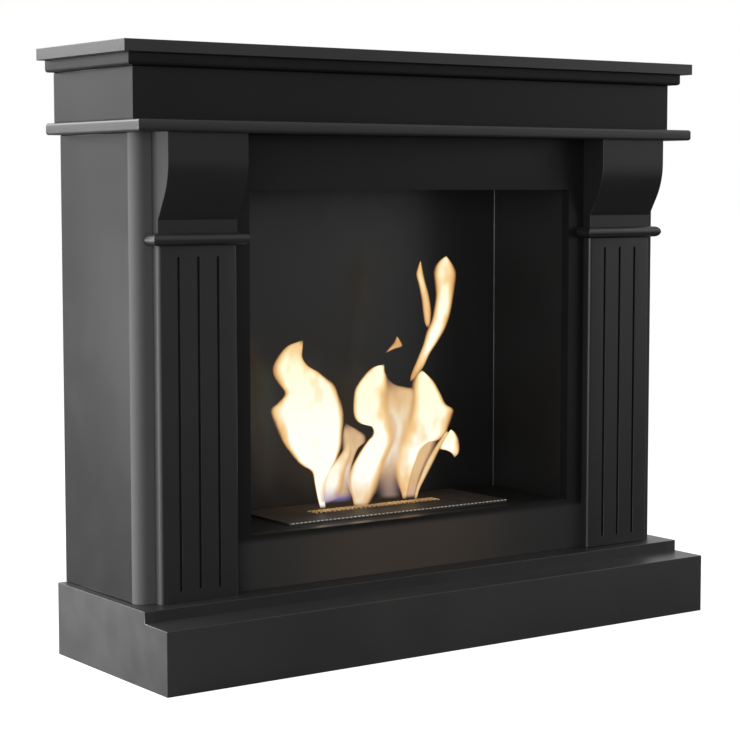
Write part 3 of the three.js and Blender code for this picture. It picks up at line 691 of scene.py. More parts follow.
def corner_bead(name, side):
    """A bead whose section is a quarter round, swept from the firebox's floor to its roof."""
    wall_low, wall_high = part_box(side)
    back_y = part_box("firebox_back")[0].y
    inner = wall_high.x if wall_high.x < 0 else wall_low.x
    reach = BEAD if inner < 0 else -BEAD
    turn = np.linspace(0, math.pi / 2, BEAD_POINTS)
    section = [(inner, back_y)] + [(inner + reach * math.cos(t), back_y - BEAD * math.sin(t)) for t in turn]
    levels = (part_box("firebox_floor")[1].z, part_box("firebox_roof")[0].z)
    points = np.array([(x, y, z) for z in levels for x, y in section])
    mesh = surface_mesh(name, [(points, tube_faces(len(levels), len(section)))])
    face_outwards(mesh)
    mesh.set_sharp_from_angle(angle=SHARP)
    return new_piece(name, mesh, MATERIALS["black_steel"], BODY_OF[side])


for hand in ("left", "right"):
    corner_bead("corner_bead_" + hand, "firebox_side_" + hand)

# ------------------------------------------------------------
# Screws
# ------------------------------------------------------------

SCREW_SIDES = 48
HEAD_RINGS = 26
SHANK_RINGS = 90
HEAD_HEIGHT = 2.2 * MM
HEAD_RIM = 0.7 * MM
SHANK_RADIUS = 1.9 * MM
POINT_LENGTH = 2.2 * MM
RECESS_DEPTH = 1.5 * MM
RECESS_ARM = 0.42 * MM  # half its width
RECESS_REACH = 0.55  # of the head's radius
THREAD_PITCH = 1.6 * MM
THREAD_DEPTH = 0.45 * MM


def screw_piece(node, slot):
    """A pan-head screw along Y with a cross recess, head towards +Y, inside the node's box.

    Head: height = rim + (top - rim) * (1 - (r / R)^2.6), less a recess whose depth falls from the
    middle to nothing at 0.55 R along two arms. Thread: radius = shank - depth * saw(y / pitch - turn).
    """
    low, high = (np.array(corner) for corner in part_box(node))
    centre = (low + high) / 2
    head_radius = (high[0] - low[0]) / 2
    seat = high[1] - HEAD_HEIGHT
    turn = np.linspace(0, 2 * math.pi, SCREW_SIDES, endpoint=False)

    radii = np.linspace(0.02, 1.0, HEAD_RINGS) ** 0.85 * head_radius
    r, t = np.meshgrid(radii, turn, indexing="ij")
    dome = HEAD_RIM + (HEAD_HEIGHT - HEAD_RIM) * (1 - (r / head_radius) ** 2.6)
    x, z = r * np.cos(t), r * np.sin(t)
    across = np.minimum(np.abs(x), np.abs(z))
    wall = np.clip((RECESS_ARM * 1.5 - across) / (RECESS_ARM * 0.5), 0, 1)
    recess = RECESS_DEPTH * wall * np.clip(1 - r / (RECESS_REACH * head_radius), 0, 1) ** 0.6
    head = np.stack([x, dome - recess, z], -1)

    y, t = np.meshgrid(np.linspace(0, seat - low[1], SHANK_RINGS), turn, indexing="ij")
    saw = np.abs(((y / THREAD_PITCH - t / (2 * math.pi)) % 1.0) * 2 - 1)
    taper = np.clip((seat - low[1] - y) / POINT_LENGTH, 0.02, 1)
    radius = (SHANK_RADIUS - THREAD_DEPTH * saw) * taper
    shank = np.stack([radius * np.cos(t), -y, radius * np.sin(t)], -1)

    under = np.stack([head_radius * np.cos(turn), np.zeros_like(turn), head_radius * np.sin(turn)], -1)
    points = np.concatenate([head, under[None], shank], axis=0).reshape(-1, 3)
    faces = tube_faces(len(points) // SCREW_SIDES, SCREW_SIDES)
    mesh = surface_mesh(node + "_crosshead", [(points + [centre[0], seat, centre[2]], faces)])
    face_outwards(mesh)
    mesh.set_sharp_from_angle(angle=SHARP)
    return new_piece(node + "_crosshead", mesh, MATERIALS[slot], BODY_OF[node], [node])


for node, slot in SLOT_OF.items():
    if slot == "zinc_screw":
        screw_piece(node, slot)

# ------------------------------------------------------------
# Expanded metal under the flame slot
# ------------------------------------------------------------

MESH_PITCH = 8.0 * MM  # along the slot
MESH_ROW = 4.6 * MM  # from one staggered row of bonds to the next
MESH_RISE = 2.6 * MM  # how far the strands are pressed up over their margin
MESH_SLOPE = 3.0 * MM  # how far in from the margin the strands reach that height
MESH_MARGIN = 4.2 * MM
MESH_INSET = 0.2 * MM  # of the margin's faces within the CAD piece
STRAND_WIDTH = 1.3 * MM
STRAND_THICKNESS = 0.55 * MM
STRAND_TILT = math.radians(38)


def bar(corners):
    """A six-sided bar from its eight corners: one end's four in turn, then the other end's."""
    faces = [(3, 2, 1, 0), (4, 5, 6, 7), (0, 1, 5, 4), (1, 2, 6, 5), (2, 3, 7, 6), (3, 0, 4, 7)]
    return np.array(corners), faces


def strand(start, end):
    """A flat bar from start to end, turned about its own length by the strands' tilt."""
    along = (end - start) / np.linalg.norm(end - start)
    side = np.cross([0, 0, 1.0], along)
    up = np.cross(along, side)
    broad = (math.cos(STRAND_TILT) * side + math.sin(STRAND_TILT) * up) * STRAND_WIDTH / 2
    thin = (math.cos(STRAND_TILT) * up - math.sin(STRAND_TILT) * side) * STRAND_THICKNESS / 2
    corners = ((-1, -1), (1, -1), (1, 1), (-1, 1))
    return bar([middle + broad * i + thin * j for middle in (start, end) for i, j in corners])


def expanded_metal():
    """Staggered rows of bonds joined by slanted strands, inside a plain margin. The strands are
    pressed up level with the deck: height = margin + rise * min(1, distance from the margin / slope)."""
    low, high = (np.array(corner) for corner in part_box("burner_mesh"))
    centre = (low + high) / 2
    half_x, half_y = (high - low)[:2] / 2 - MESH_MARGIN

    def bond(x, y):
        inside = min(half_x - abs(x - centre[0]), half_y - abs(y - centre[1]))
        return np.array([x, y, centre[2] + MESH_RISE * min(max(inside / MESH_SLOPE, 0.0), 1.0)])

    parts = []
    rows = int(half_y / MESH_ROW)
    columns = int(half_x / MESH_PITCH)
    for row in range(-rows - 1, rows + 1):
        y0, y1 = centre[1] + row * MESH_ROW, centre[1] + (row + 1) * MESH_ROW
        shift = 0.0 if row % 2 == 0 else 0.5
        for column in range(-columns - 1, columns + 1):
            x0 = centre[0] + (column + shift) * MESH_PITCH
            for x1 in (x0 - MESH_PITCH / 2, x0 + MESH_PITCH / 2):
                if max(abs(x0 - centre[0]), abs(x1 - centre[0])) <= half_x + MESH_PITCH / 2:
                    parts.append(strand(bond(x0, y0), bond(x1, y1)))
    (left, front), (right, back) = low[:2], high[:2]
    for x0, x1, y0, y1 in (
            (left, right, front, front + MESH_MARGIN),
            (left, right, back - MESH_MARGIN, back),
            (left, left + MESH_MARGIN, front + MESH_MARGIN, back - MESH_MARGIN),
            (right - MESH_MARGIN, right, front + MESH_MARGIN, back - MESH_MARGIN)):
        parts.append(bar([(x, y, z) for z in (low[2] + MESH_INSET, high[2] - MESH_INSET)
                          for x, y in ((x0, y0), (x1, y0), (x1, y1), (x0, y1))]))
    mesh = surface_mesh("burner_mesh_strands", parts, smooth=False)
    return new_piece("burner_mesh_strands", mesh, STRAW_STEEL, BODY_OF["burner_mesh"],
                     ["burner_mesh"])


expanded_metal()

# ------------------------------------------------------------
# Ceramic wool: a blanket folded into layers
# ------------------------------------------------------------

WOOL_LAYERS = 4
WOOL_INSET = 0.6 * MM
WOOL_SIDES = 160
WOOL_CORNER = 0.16  # the power that rounds a layer's corners, where 0 is square and 1 an ellipse
WOOL_EDGE_RINGS = 9
WOOL_FLAT_RINGS = 11  # on the top, and on the underside
WOOL_SEED = 11
BROAD_LUMPS = (0.4 * MM, 34 * MM, 0)  # half their depth, their size, and what is added to the seed
FINE_LUMPS = (0.2 * MM, 9 * MM, 50)
WAVES = 9


def lumps(x, y, seed, size):
    """A smooth uneven value from -1 to 1: a sum of waves whose directions and phases are drawn."""
    draw = np.random.default_rng(seed)
    total = np.zeros_like(x)
    for _ in range(WAVES):
        angle = draw.uniform(0, 2 * math.pi)
        phase = draw.uniform(0, 2 * math.pi)
        scale = draw.uniform(0.6, 1.7)
        total += np.sin((x * math.cos(angle) + y * math.sin(angle)) * scale * 2 * math.pi / size + phase)
    return total / WAVES


def wool_layer(low, high, seed):
    """One layer: a path from the middle of its underside, round its edge, to the middle of its top,
    carried round a rectangle with round corners. The surface is pulled in by up to 1.2 mm of lumps."""
    centre, half = (low + high) / 2, (high - low) / 2
    around = np.linspace(0, 2 * math.pi, WOOL_SIDES, endpoint=False)
    outline_x, outline_y = (np.sign(v) * np.abs(v) ** WOOL_CORNER
                            for v in (np.cos(around), np.sin(around)))
    edge = np.linspace(-math.pi / 2, math.pi / 2, WOOL_EDGE_RINGS)
    inner = np.linspace(0.03, 1, WOOL_FLAT_RINGS + 1)[:-1]
    flat = np.ones(WOOL_FLAT_RINGS)
    spread = np.concatenate([inner, np.ones(WOOL_EDGE_RINGS), inner[::-1]])
    level = np.concatenate([-flat, np.sin(edge), flat])
    grow = np.concatenate([0 * flat, np.cos(edge), 0 * flat]) * half[2]
    x = outline_x[None] * (spread * (half[0] - half[2]) + grow)[:, None]
    y = outline_y[None] * (spread * (half[1] - half[2]) + grow)[:, None]
    pulled = sum(depth * (1 + lumps(x, y, seed + more, size))
                 for depth, size, more in (BROAD_LUMPS, FINE_LUMPS))
    z = level[:, None] * (half[2] - pulled)
    x -= np.sign(x) * pulled * np.abs(1 - np.abs(level))[:, None]
    points = np.stack([x, y, z], -1).reshape(-1, 3) + centre
    return points, tube_faces(len(spread), WOOL_SIDES)


def wool_piece():
    """The layers one on another, a little inside the CAD node's box."""
    low, high = (np.array(corner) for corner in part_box("ceramic_wool"))
    low, high = low + WOOL_INSET, high - WOOL_INSET
    thickness = (high[2] - low[2]) / WOOL_LAYERS
    parts = []
    for layer in range(WOOL_LAYERS):
        bottom = np.array([low[0], low[1], low[2] + layer * thickness])
        top = np.array([high[0], high[1], bottom[2] + thickness])
        parts.append(wool_layer(bottom, top, WOOL_SEED + layer))
    mesh = surface_mesh("ceramic_wool_layers", parts)
    face_outwards(mesh)
    piece = new_piece("ceramic_wool_layers", mesh, MATERIALS["ceramic_wool"], BODY_OF["ceramic_wool"],
                      ["ceramic_wool"])


wool_piece()

# ------------------------------------------------------------
# Flames
# ------------------------------------------------------------

# Each flame's left and right edge from its foot to its tip, as (x, height above the burner's deck)
# in millimetres. Then how far forward its middle lies, how thick it is, how hot it is in the middle,
# how much it covers, and on its left and on its right the widths of its hot-to-cool band and of its
# fading edge, as shares of its half width.
FLAMES = {
    "flame_left": {
        "left": [(-99, 3), (-104, 20), (-109, 42), (-113, 58), (-119, 64), (-129, 69), (-140, 77),
                 (-152, 91), (-168, 110), (-179, 135), (-185, 156), (-173, 166), (-162, 178), (-172, 193),
                 (-180, 207), (-181, 219), (-171, 235), (-155, 248), (-141, 252), (-128, 255)],
        "right": [(-89, 3), (-91, 18), (-92, 32), (-87, 46), (-78, 60), (-68, 76), (-60, 94), (-57, 115),
                  (-55, 134), (-56, 148), (-64, 170), (-77, 190), (-100, 206), (-120, 217), (-129, 229),
                  (-129, 242), (-128, 255)],
        "forward": 2, "thick": 26, "heat": 1.75, "cover": 0.97, "soft": (0.5, 0.4), "edge": (0.14, 0.16),
        "tip": 0.26, "foot": 0.75,
    },
    "flame_left_lick": {
        "left": [(-101, 6), (-103, 26), (-99, 45), (-90, 61), (-74, 74), (-60, 87), (-50, 105)],
        "right": [(-67, 14), (-57, 28), (-54, 41), (-51, 57), (-44, 73), (-42, 90), (-50, 102)],
        "forward": 9, "thick": 14, "heat": 1.1, "cover": 0.9, "soft": (0.9, 0.8), "edge": (0.6, 0.4),
        "tip": 0.5, "foot": 0.8, "fade": 0.3, "blue": 0.75, "grey": 0.15,
    },
    "flame_left_veil": {
        "left": [(-72, 8), (-66, 30), (-61, 52), (-61, 72), (-61, 94), (-59, 115), (-54, 129)],
        "right": [(-34, 8), (-40, 30), (-43, 54), (-38, 73), (-28, 90), (-16, 98), (-16, 107), (-31, 117),
                  (-45, 124), (-54, 129)],
        "forward": -2, "thick": 10, "heat": 0.8, "cover": 0.82, "soft": (0.7, 0.7), "edge": (0.4, 0.4),
        "tip": 0.5, "foot": 0.7, "fade": 0.2, "rise": 55, "blue": 0.6, "grey": 0.5,
    },
    "flame_violet": {
        "left": [(-96, 9), (-92, 25), (-81, 42), (-67, 59)],
        "right": [(-34, 8), (-38, 26), (-51, 45), (-67, 59)],
        "forward": -6, "thick": 10, "heat": 0.4, "cover": 0.55, "soft": (0.7, 0.7), "edge": (0.9, 0.9),
        "foot": 1, "blue": 1.6, "grey": 0.5,
    },
    "flame_middle": {
        "left": [(-38, 0), (-42, 15), (-49, 30), (-51, 44), (-43, 62), (-30, 80), (-14, 98), (-4, 107),
                 (-3, 114), (-9, 122), (-22, 124), (-33, 129), (-39, 138), (-40, 156), (-36, 179),
                 (-20, 197), (-3, 209), (18, 212)],
        "right": [(-12, -1), (-6, 7), (0, 14), (6, 23), (12, 38), (19, 58), (28, 77), (36, 96), (36, 115),
                  (33, 134), (31, 156), (28, 176), (24, 192), (19, 202), (18, 212)],
        "forward": -3, "thick": 24, "heat": 1.3, "cover": 0.96, "soft": (0.34, 0.95), "edge": (0.14, 0.55),
        "tip": 0.75, "foot": 0.42, "blue": 0.12,
    },
    "flame_middle_tail": {
        "left": [(-25, 9), (-23, 34), (-12, 66), (2, 99)],
        "right": [(8, 12), (12, 34), (25, 67), (42, 100), (45, 120), (32, 145)],
        "forward": -9, "thick": 12, "heat": 0.48, "cover": 0.72, "soft": (0.7, 0.7), "edge": (0.6, 0.6),
        "foot": 0.9, "rise": 45, "grey": 0.3,
    },
    "flame_between": {
        "left": [(-2, 6), (4, 40), (8, 80), (8, 120), (8, 150), (8, 176), (14, 200)],
        "right": [(60, 6), (62, 40), (66, 80), (72, 124), (78, 151), (76, 172), (58, 176), (36, 182),
                  (14, 200)],
        "forward": -12, "thick": 10, "heat": 0.7, "cover": 0.88, "soft": (0.5, 0.5), "edge": (0.3, 0.3),
        "tip": 0.3, "foot": 0.3, "fade": 0.3, "rise": 80, "blue": 0.5, "grey": 0.35,
    },
    "flame_haze": {
        "left": [(4, 7), (12, 40), (25, 70), (36, 96)],
        "right": [(53, 5), (42, 35), (39, 62), (43, 96)],
        "forward": -16, "thick": 8, "heat": 0.16, "cover": 0.3, "soft": (0.8, 0.8), "edge": (0.95, 0.95),
        "foot": 1, "fade": 0.5, "blue": 0.15, "grey": 1,
    },
    "flame_right": {
        "left": [(52, 3), (48, 15), (41, 29), (36, 43), (35, 62), (38, 84), (45, 109), (54, 130), (63, 151),
                 (66, 170), (69, 182), (76, 192), (88, 200)],
        "right": [(58, 3), (62, 18), (69, 39), (78, 59), (89, 79), (106, 89), (121, 90), (135, 99),
                  (143, 112), (149, 127), (151, 135), (134, 146), (123, 163), (110, 182), (88, 200)],
        "forward": 4, "thick": 24, "heat": 1.12, "cover": 0.96, "soft": (0.9, 0.42), "edge": (0.5, 0.2),
        "tip": 0.85, "blue": 0.05,
    },
    "flame_right_tail": {
        "left": [(72, 1), (76, 18), (85, 39), (96, 60), (108, 76), (121, 90), (135, 105)],
        "right": [(79, 1), (84, 16), (97, 36), (111, 57), (121, 73), (130, 86), (142, 101)],
        "forward": 11, "thick": 9, "heat": 0.62, "cover": 0.85, "soft": (1.0, 1.0), "edge": (0.8, 0.6),
        "tip": 1.1, "foot": 0.7, "grey": 0.2,
    },
    "flame_right_web": {
        "left": [(54, 5), (60, 32), (66, 58), (72, 80), (70, 103)],
        "right": [(77, 4), (85, 30), (98, 55), (114, 77), (123, 96)],
        "forward": -8, "thick": 8, "heat": 0.36, "cover": 0.85, "soft": (0.7, 0.7), "edge": (0.5, 0.7),
        "foot": 0.9, "blue": 0.2, "grey": 0.4,
    },
    "flame_right_curl": {
        "left": [(151, 60), (145, 68), (134, 73), (120, 77), (126, 88), (136, 98), (144, 105)],
        "right": [(151, 60), (159, 67), (161, 78), (159, 90), (152, 100), (144, 105)],
        "forward": 13, "thick": 9, "heat": 1, "cover": 0.95, "soft": (0.6, 0.6), "edge": (0.3, 0.3),
    },
    "flame_tall": {
        "left": [(65, 182), (67, 193), (77, 214), (89, 238), (96, 259), (105, 275), (110, 294), (113, 313),
                 (111, 332), (109, 348), (112, 358), (119, 365), (134, 373)],
        "right": [(69, 183), (83, 196), (92, 205), (104, 224), (121, 244), (133, 261), (142, 282),
                  (148, 306), (152, 326), (154, 345), (150, 355), (142, 365), (134, 373)],
        "forward": 5, "thick": 13, "heat": 1.3, "cover": 0.96, "soft": (0.9, 0.9), "edge": (0.4, 0.4),
        "tip": 0.62, "foot": 0.05,
    },
    "flame_tall_side": {
        "left": [(98, 263), (93, 270), (89, 287), (86, 308), (81, 329), (76, 346), (80, 357), (85, 367)],
        "right": [(102, 263), (105, 275), (106, 291), (102, 312), (95, 333), (89, 354), (85, 367)],
        "forward": 5, "thick": 6, "heat": 0.8, "cover": 0.92, "soft": (0.9, 0.9), "edge": (0.6, 0.6),
        "tip": 0.3, "foot": 0.3,
    },
    "flame_spark": {
        "left": [(18, 228), (28, 238), (37, 248), (41, 253)],
        "right": [(18, 228), (36, 234), (52, 238), (47, 247), (41, 253)],
        "forward": 0, "thick": 4, "heat": 0.36, "cover": 0.78, "soft": (0.8, 0.8), "edge": (0.6, 0.6),
        "tip": 0.8, "foot": 0.9,
    },
}
# What a flame has unless it says otherwise: how hot its tip and foot are beside its middle, the share
# of its height over which its tip fades, the millimetres over which its foot comes up from clear, how
# blue its foot is, and how grey it is, where a flame is so thin that its colour pales.
USUAL_FLAME = {"tip": 1, "foot": 0.6, "fade": 0.05, "rise": 9, "blue": 0, "grey": 0}
FLAME_FOOT = 0.8 * MM  # over the deck
FEET_FORWARD = 7.0 * MM  # how far before the middle of the slot the flames rise
FLAME_SWAY = 9.0 * MM
SPAN_STEPS = 24  # between two points of a flame's edge
FLAME_ROWS = 90
FLAME_SIDES = 40


def smooth_curve(points, count):
    """A curve through points at even shares of its length: centripetal Catmull-Rom spans."""
    p = np.array(points, float)
    p = np.vstack([2 * p[0] - p[1], p, 2 * p[-1] - p[-2]])
    knots = np.concatenate([[0], np.cumsum(np.linalg.norm(np.diff(p, axis=0), axis=1) ** 0.5)])
    fine = []
    for i in range(1, len(p) - 2):
        t = np.linspace(knots[i], knots[i + 1], SPAN_STEPS, endpoint=False)[:, None]
        k = knots[i - 1:i + 3]
        a = [((k[j + 1] - t) * p[i - 1 + j] + (t - k[j]) * p[i + j]) / (k[j + 1] - k[j])
             for j in range(3)]
        b = [((k[j + 2] - t) * a[j] + (t - k[j]) * a[j + 1]) / (k[j + 2] - k[j]) for j in range(2)]
        fine.append(((k[2] - t) * b[0] + (t - k[1]) * b[1]) / (k[2] - k[1]))
    fine = np.vstack(fine + [p[-2:-1]])
    length = np.concatenate([[0], np.cumsum(np.linalg.norm(np.diff(fine, axis=0), axis=1))])
    even = np.linspace(0, length[-1], count)
    return np.stack([np.interp(even, length, fine[:, i]) for i in range(2)], -1)


def flame_group():
    """A flame's colour and cover. Its UV map holds how far across and how far up each point lies.
    Heat falls from the middle to the edge, at the tip and at the foot, and is streaked by a noise
    drawn out along Z. It runs from a brown rim through straw yellow to near white. The cover falls
    away in the fading edge, and the foot is tinted blue."""
    values = ("Heat", "Tip Heat", "Foot Heat", "Cover", "Blue", "Left Soft", "Left Edge", "Right Soft",
              "Right Edge", "Tip Fade", "Foot Fade", "Grey")
    tones = ("Core Tone", "Upper Core", "Straw Tone", "Grey Tone", "Rim Tone", "Foot Tone")
    tree, given = new_group(
        "flame",
        [(name, FLOAT, 0.5) for name in values] + [(name, COLOUR, rgb(1, 1, 1)) for name in tones],
        [("Colour", COLOUR), ("Cover", FLOAT)],
    )
    uv = put(tree, "ShaderNodeUVMap", uv_map="flame").outputs[0]
    parts = put(tree, "ShaderNodeSeparateXYZ", {0: uv}).outputs
    across, up = parts["X"], parts["Y"]
    aside = times(tree, math_node(tree, "ABSOLUTE", minus(tree, across, 0.5)), 2.0)
    rightward = remap(tree, across, 0.42, 0.58)
    edge = between(tree, rightward, given["Left Edge"], given["Right Edge"])
    soft = between(tree, rightward, given["Left Soft"], given["Right Soft"])
    streaks = noise(tree, 1.0, 3.0, vector=stretched(tree, (60.0, 60.0, 11.0)))
    clouds = noise(tree, 1.0, 2.0, vector=stretched(tree, (30.0, 30.0, 15.0)))
    ragged = plus(tree, aside, remap(tree, streaks, 0.25, 0.75, -0.05, 0.05, False))
    cover = given["Cover"]
    for share in (
            remap(tree, ragged, 1.0, minus(tree, 1.0, edge)),
            remap(tree, up, 0.0, given["Foot Fade"]),
            remap(tree, up, 1.0, minus(tree, 1.0, given["Tip Fade"]))):
        cover = times(tree, cover, share)
    heat = given["Heat"]
    for share in (
            remap(tree, ragged, 1.04, minus(tree, 1.0, soft)),
            remap(tree, streaks, 0.3, 0.65, 0.84, 1.10, False),
            remap(tree, clouds, 0.36, 0.60, 0.50, 1.18, False),
            remap(tree, up, 1.0, 0.45, given["Tip Heat"], 1.0),
            remap(tree, up, 0.0, 0.36, given["Foot Heat"], 1.0)):
        heat = times(tree, heat, share)
    warm = remap(tree, heat, 0.0, 0.40, smooth=False)
    colour = mix_colours(tree, warm, given["Rim Tone"], given["Straw Tone"])
    core = mix_colours(tree, remap(tree, up, 0.35, 0.8), given["Core Tone"], given["Upper Core"])
    colour = mix_colours(tree, remap(tree, heat, 0.42, 0.95, smooth=False), colour, core)
    colour = mix_colours(tree, given["Grey"], colour, given["Grey Tone"])
    blue = math_node(tree, "MINIMUM", times(tree, remap(tree, up, 0.30, 0.0), given["Blue"]), 1.0)
    colour = mix_colours(tree, blue, colour, given["Foot Tone"])
    put(tree, "NodeGroupOutput", {"Colour": colour, "Cover": cover})
    return tree


GROUPS["flame"] = flame_group()


FLAME_STRENGTH = 1.5
FLAME_TONES = {
    "Core Tone": rgb(0.78, 0.74, 0.64),
    "Upper Core": rgb(0.76, 0.71, 0.50),
    "Straw Tone": rgb(0.62, 0.42, 0.19),
    "Grey Tone": rgb(0.37, 0.25, 0.18),
    "Rim Tone": rgb(0.40, 0.17, 0.055),
    "Foot Tone": rgb(0.17, 0.14, 0.30),
}


def flame_material(name, shape):
    """A flame's own colour and cover, from the shared group."""
    material, tree, shader = new_material(name, {
        "Base Color": rgb(0, 0, 0), "Roughness": 1.0, "Specular IOR Level": 0.0,
        "Emission Strength": FLAME_STRENGTH})
    heights = [height for _, height in shape["left"]]
    flame = place_group(tree, "flame", FLAME_TONES | {
        "Heat": shape["heat"], "Tip Heat": shape["tip"], "Foot Heat": shape["foot"],
        "Cover": shape["cover"], "Blue": shape["blue"], "Grey": shape["grey"],
        "Left Soft": shape["soft"][0], "Right Soft": shape["soft"][1],
        "Left Edge": shape["edge"][0], "Right Edge": shape["edge"][1],
        "Tip Fade": shape["fade"], "Foot Fade": shape["rise"] / (max(heights) - min(heights))})
    tree.links.new(flame["Colour"], shader.inputs["Emission Color"])
    tree.links.new(flame["Cover"], shader.inputs["Alpha"])
    return material


def flame_piece(name, shape):
    """A closed shell, drawn on the upright plane through the burner's middle. At each height its
    section runs from the left edge to the right edge. Each point then slides along its own line of
    sight, as the photograph's camera sees it, to a distance of its own: that of the flame's foot,
    less how far forward it lies, plus a sway that grows upwards and the section's half depth."""
    deck_low, deck_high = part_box("burner_deck")
    middle_y = (deck_low.y + deck_high.y) / 2
    left, right = (smooth_curve(shape[side], FLAME_ROWS) * MM for side in ("left", "right"))
    share = np.linspace(0, 1, FLAME_ROWS)[:, None]
    turn = np.linspace(0, 2 * math.pi, FLAME_SIDES, endpoint=False)[None]
    centre, half = (left + right) / 2, (right - left) / 2
    width = np.linalg.norm(half, axis=1)[:, None]
    depth = np.minimum(width * 0.6, shape["thick"] * MM / 2)
    depth *= np.sin(np.pi * np.clip(share, 0.02, 0.98)) ** 0.3
    sway = FLAME_SWAY * np.sin(7.0 * share + 0.02 * shape["left"][0][0]) * share
    curl = 0.25 * depth * np.cos(2 * turn + 3 * share) * np.abs(np.sin(turn))
    x = centre[:, :1] + half[:, :1] * np.cos(turn)
    z = centre[:, 1:] + half[:, 1:] * np.cos(turn) + deck_high.z
    drawn = np.stack([x, np.full_like(x, middle_y), z], -1)
    eye, yaw = np.array(CAMERA_PLACE), math.radians(CAMERA_YAW)
    ahead = np.array([-math.sin(yaw), math.cos(yaw), 0.0])
    foot = np.array([centre[0, 0], middle_y, 0.0])
    distance = (foot - eye) @ ahead - shape["forward"] * MM - FEET_FORWARD
    distance = distance + sway + depth * np.sin(turn) + curl
    points = eye + (drawn - eye) * (distance / ((drawn - eye) @ ahead))[..., None]
    points = points.reshape(-1, 3)
    points[:, 2] = np.maximum(points[:, 2], deck_high.z + FLAME_FOOT)
    mesh = surface_mesh(name, [(points, tube_faces(FLAME_ROWS, FLAME_SIDES))])
    across = np.broadcast_to((1 + np.cos(turn)) / 2, (FLAME_ROWS, FLAME_SIDES)).reshape(-1)
    along = np.broadcast_to(share, (FLAME_ROWS, FLAME_SIDES)).reshape(-1)
    face_outwards(mesh)
    loops = np.zeros(len(mesh.loops), int)
    mesh.loops.foreach_get("vertex_index", loops)
    uv = mesh.uv_layers.new(name="flame")
    uv.data.foreach_set("uv", np.stack([across[loops], along[loops]], -1).reshape(-1))
    piece = new_piece(name, mesh, flame_material(name, shape), "burner")
    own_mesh(piece)
    return piece


for name, shape in FLAMES.items():
    flame_piece(name, USUAL_FLAME | shape)

# ------------------------------------------------------------
# Floor, world and lamps
# ------------------------------------------------------------

FLOOR_HALF = 30.0  # of its side
FLOOR_TONE = 0.22
FLOOR_SEEN = 0.93  # the white that the camera sees added to the floor
FLOOR_MIRRORED = 0.02  # the same as gloss and glass see it
WORLD_LIGHT = 0.25  # the world's light on rough surfaces, beside the white that is seen
FLAME_LIGHT_COLOUR = (1.0, 0.58, 0.27)
FLAME_LIGHT_POWER = 0.25
FLAME_LIGHT_RADIUS = 30 * MM


def build_floor():
    """A pale floor. To the camera it is lifted to white, and it keeps the object's shadow."""
    mesh = bpy.data.meshes.new("floor")
    corners = [(x * FLOOR_HALF, y * FLOOR_HALF, 0) for x, y in ((-1, -1), (1, -1), (1, 1), (-1, 1))]
    mesh.from_pydata(corners, [], [(0, 1, 2, 3)])
    material, tree, shader = new_material("pale_floor", {
        "Base Color": rgb(FLOOR_TONE, FLOOR_TONE, FLOOR_TONE), "Roughness": 0.9,
        "Specular IOR Level": 0.1})
    path = put(tree, "ShaderNodeLightPath").outputs
    seen = times(tree, path["Is Camera Ray"], FLOOR_SEEN)
    mirrored = math_node(tree, "MAXIMUM", path["Is Glossy Ray"], path["Is Transmission Ray"])
    strength = plus(tree, seen, times(tree, mirrored, FLOOR_MIRRORED))
    glow = put(tree, "ShaderNodeEmission", {"Color": rgb(1, 1, 1), "Strength": strength})
    both = put(tree, "ShaderNodeAddShader", {0: shader.outputs[0], 1: glow.outputs[0]})
    tree.links.new(both.outputs[0], tree.nodes["Material Output"].inputs["Surface"])
    mesh.materials.append(material)
    floor = bpy.data.objects.new("floor", mesh)
    bpy.context.scene.collection.objects.link(floor)


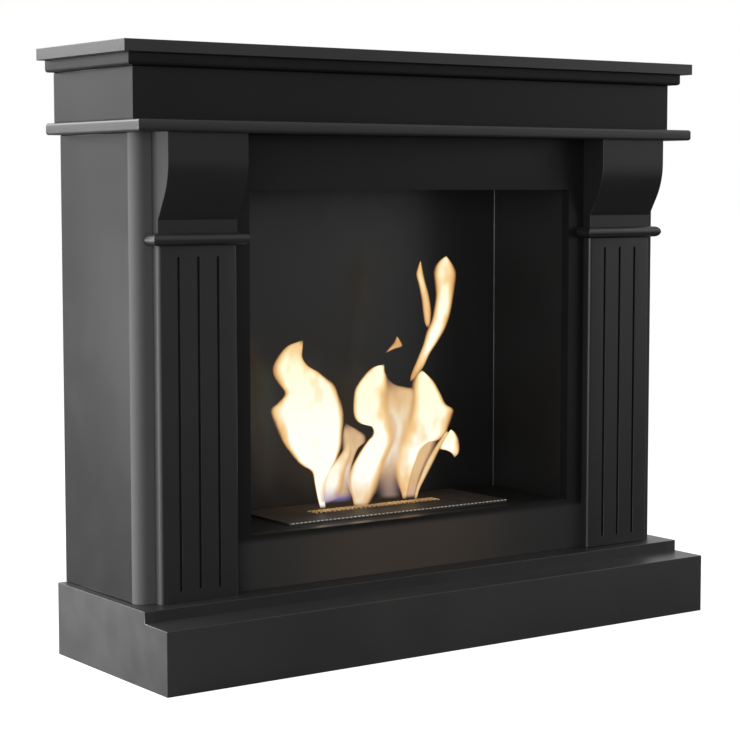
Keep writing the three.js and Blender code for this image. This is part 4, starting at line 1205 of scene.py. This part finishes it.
def build_world():
    """Even light all round. The camera, gloss and glass see it white."""
    world = bpy.data.worlds.new("studio")
    bpy.context.scene.world = world
    world.use_nodes = True
    tree = world.node_tree
    path = put(tree, "ShaderNodeLightPath").outputs
    seen = math_node(tree, "MAXIMUM", path["Is Camera Ray"], path["Is Glossy Ray"])
    seen = math_node(tree, "MAXIMUM", seen, path["Is Transmission Ray"])
    strength = remap(tree, seen, 0.0, 1.0, WORLD_LIGHT, 1.0, False)
    background = tree.nodes["Background"]
    background.inputs["Color"].default_value = rgb(1, 1, 1)
    tree.links.new(strength, background.inputs["Strength"])


def add_flame_light(name, place):
    """The light that a flame throws on the steel round it."""
    data = bpy.data.lights.new(name, "POINT")
    data.energy = FLAME_LIGHT_POWER
    data.color = FLAME_LIGHT_COLOUR
    data.shadow_soft_size = FLAME_LIGHT_RADIUS
    lamp = bpy.data.objects.new(name, data)
    lamp.location = place
    lamp.visible_camera = False
    lamp.visible_glossy = False
    bpy.context.scene.collection.objects.link(lamp)


def add_panel(name, place, target, size, power):
    """A rectangular lamp that looks at a point."""
    data = bpy.data.lights.new(name, "AREA")
    data.shape = "RECTANGLE"
    data.size, data.size_y = size
    data.energy = power
    lamp = bpy.data.objects.new(name, data)
    lamp.location = place
    lamp.rotation_euler = (Vector(target) - Vector(place)).to_track_quat("-Z", "Y").to_euler()
    lamp.visible_camera = False
    bpy.context.scene.collection.objects.link(lamp)


# Each lamp's place, the point it looks at, its width and height, and its power in watts
PANELS = {
    "panel_side": ((-3.0, -0.4, 0.9), (-0.4, 0.0, 0.35), (2.8, 1.8), 92.0),
    "panel_back": ((-1.5, 1.9, 1.7), (-0.4, 0.0, 0.8), (1.9, 1.3), 40.0),
    "panel_band": ((-1.65, 1.95, 1.05), (-0.4, 0.0, 0.6), (1.7, 2.0), 8.0),
    "panel_low": ((-2.6, 1.2, 0.3), (-0.4, 0.0, 0.2), (1.6, 0.5), 142.0),
    "panel_over": ((-1.6, 0.3, 2.8), (0.0, 0.0, 0.6), (1.4, 1.4), 59.0),
    "panel_corner": ((-2.7, -2.0, 0.75), (-0.46, -0.05, 0.45), (2.0, 1.5), 54.0),
    "panel_far_corner": ((2.7, -2.5, 0.3), (0.3, 0.0, 0.2), (1.5, 0.6), 2.6),
    "panel_right": ((3.2, -1.2, 1.6), (0.0, 0.0, 0.4), (1.8, 1.8), 25.0),
}

build_floor()
build_world()
for name, panel in PANELS.items():
    add_panel(name, *panel)
add_flame_light("flame_light_left", (-0.08, 0.050, 0.24))
add_flame_light("flame_light_right", (0.05, 0.050, 0.24))
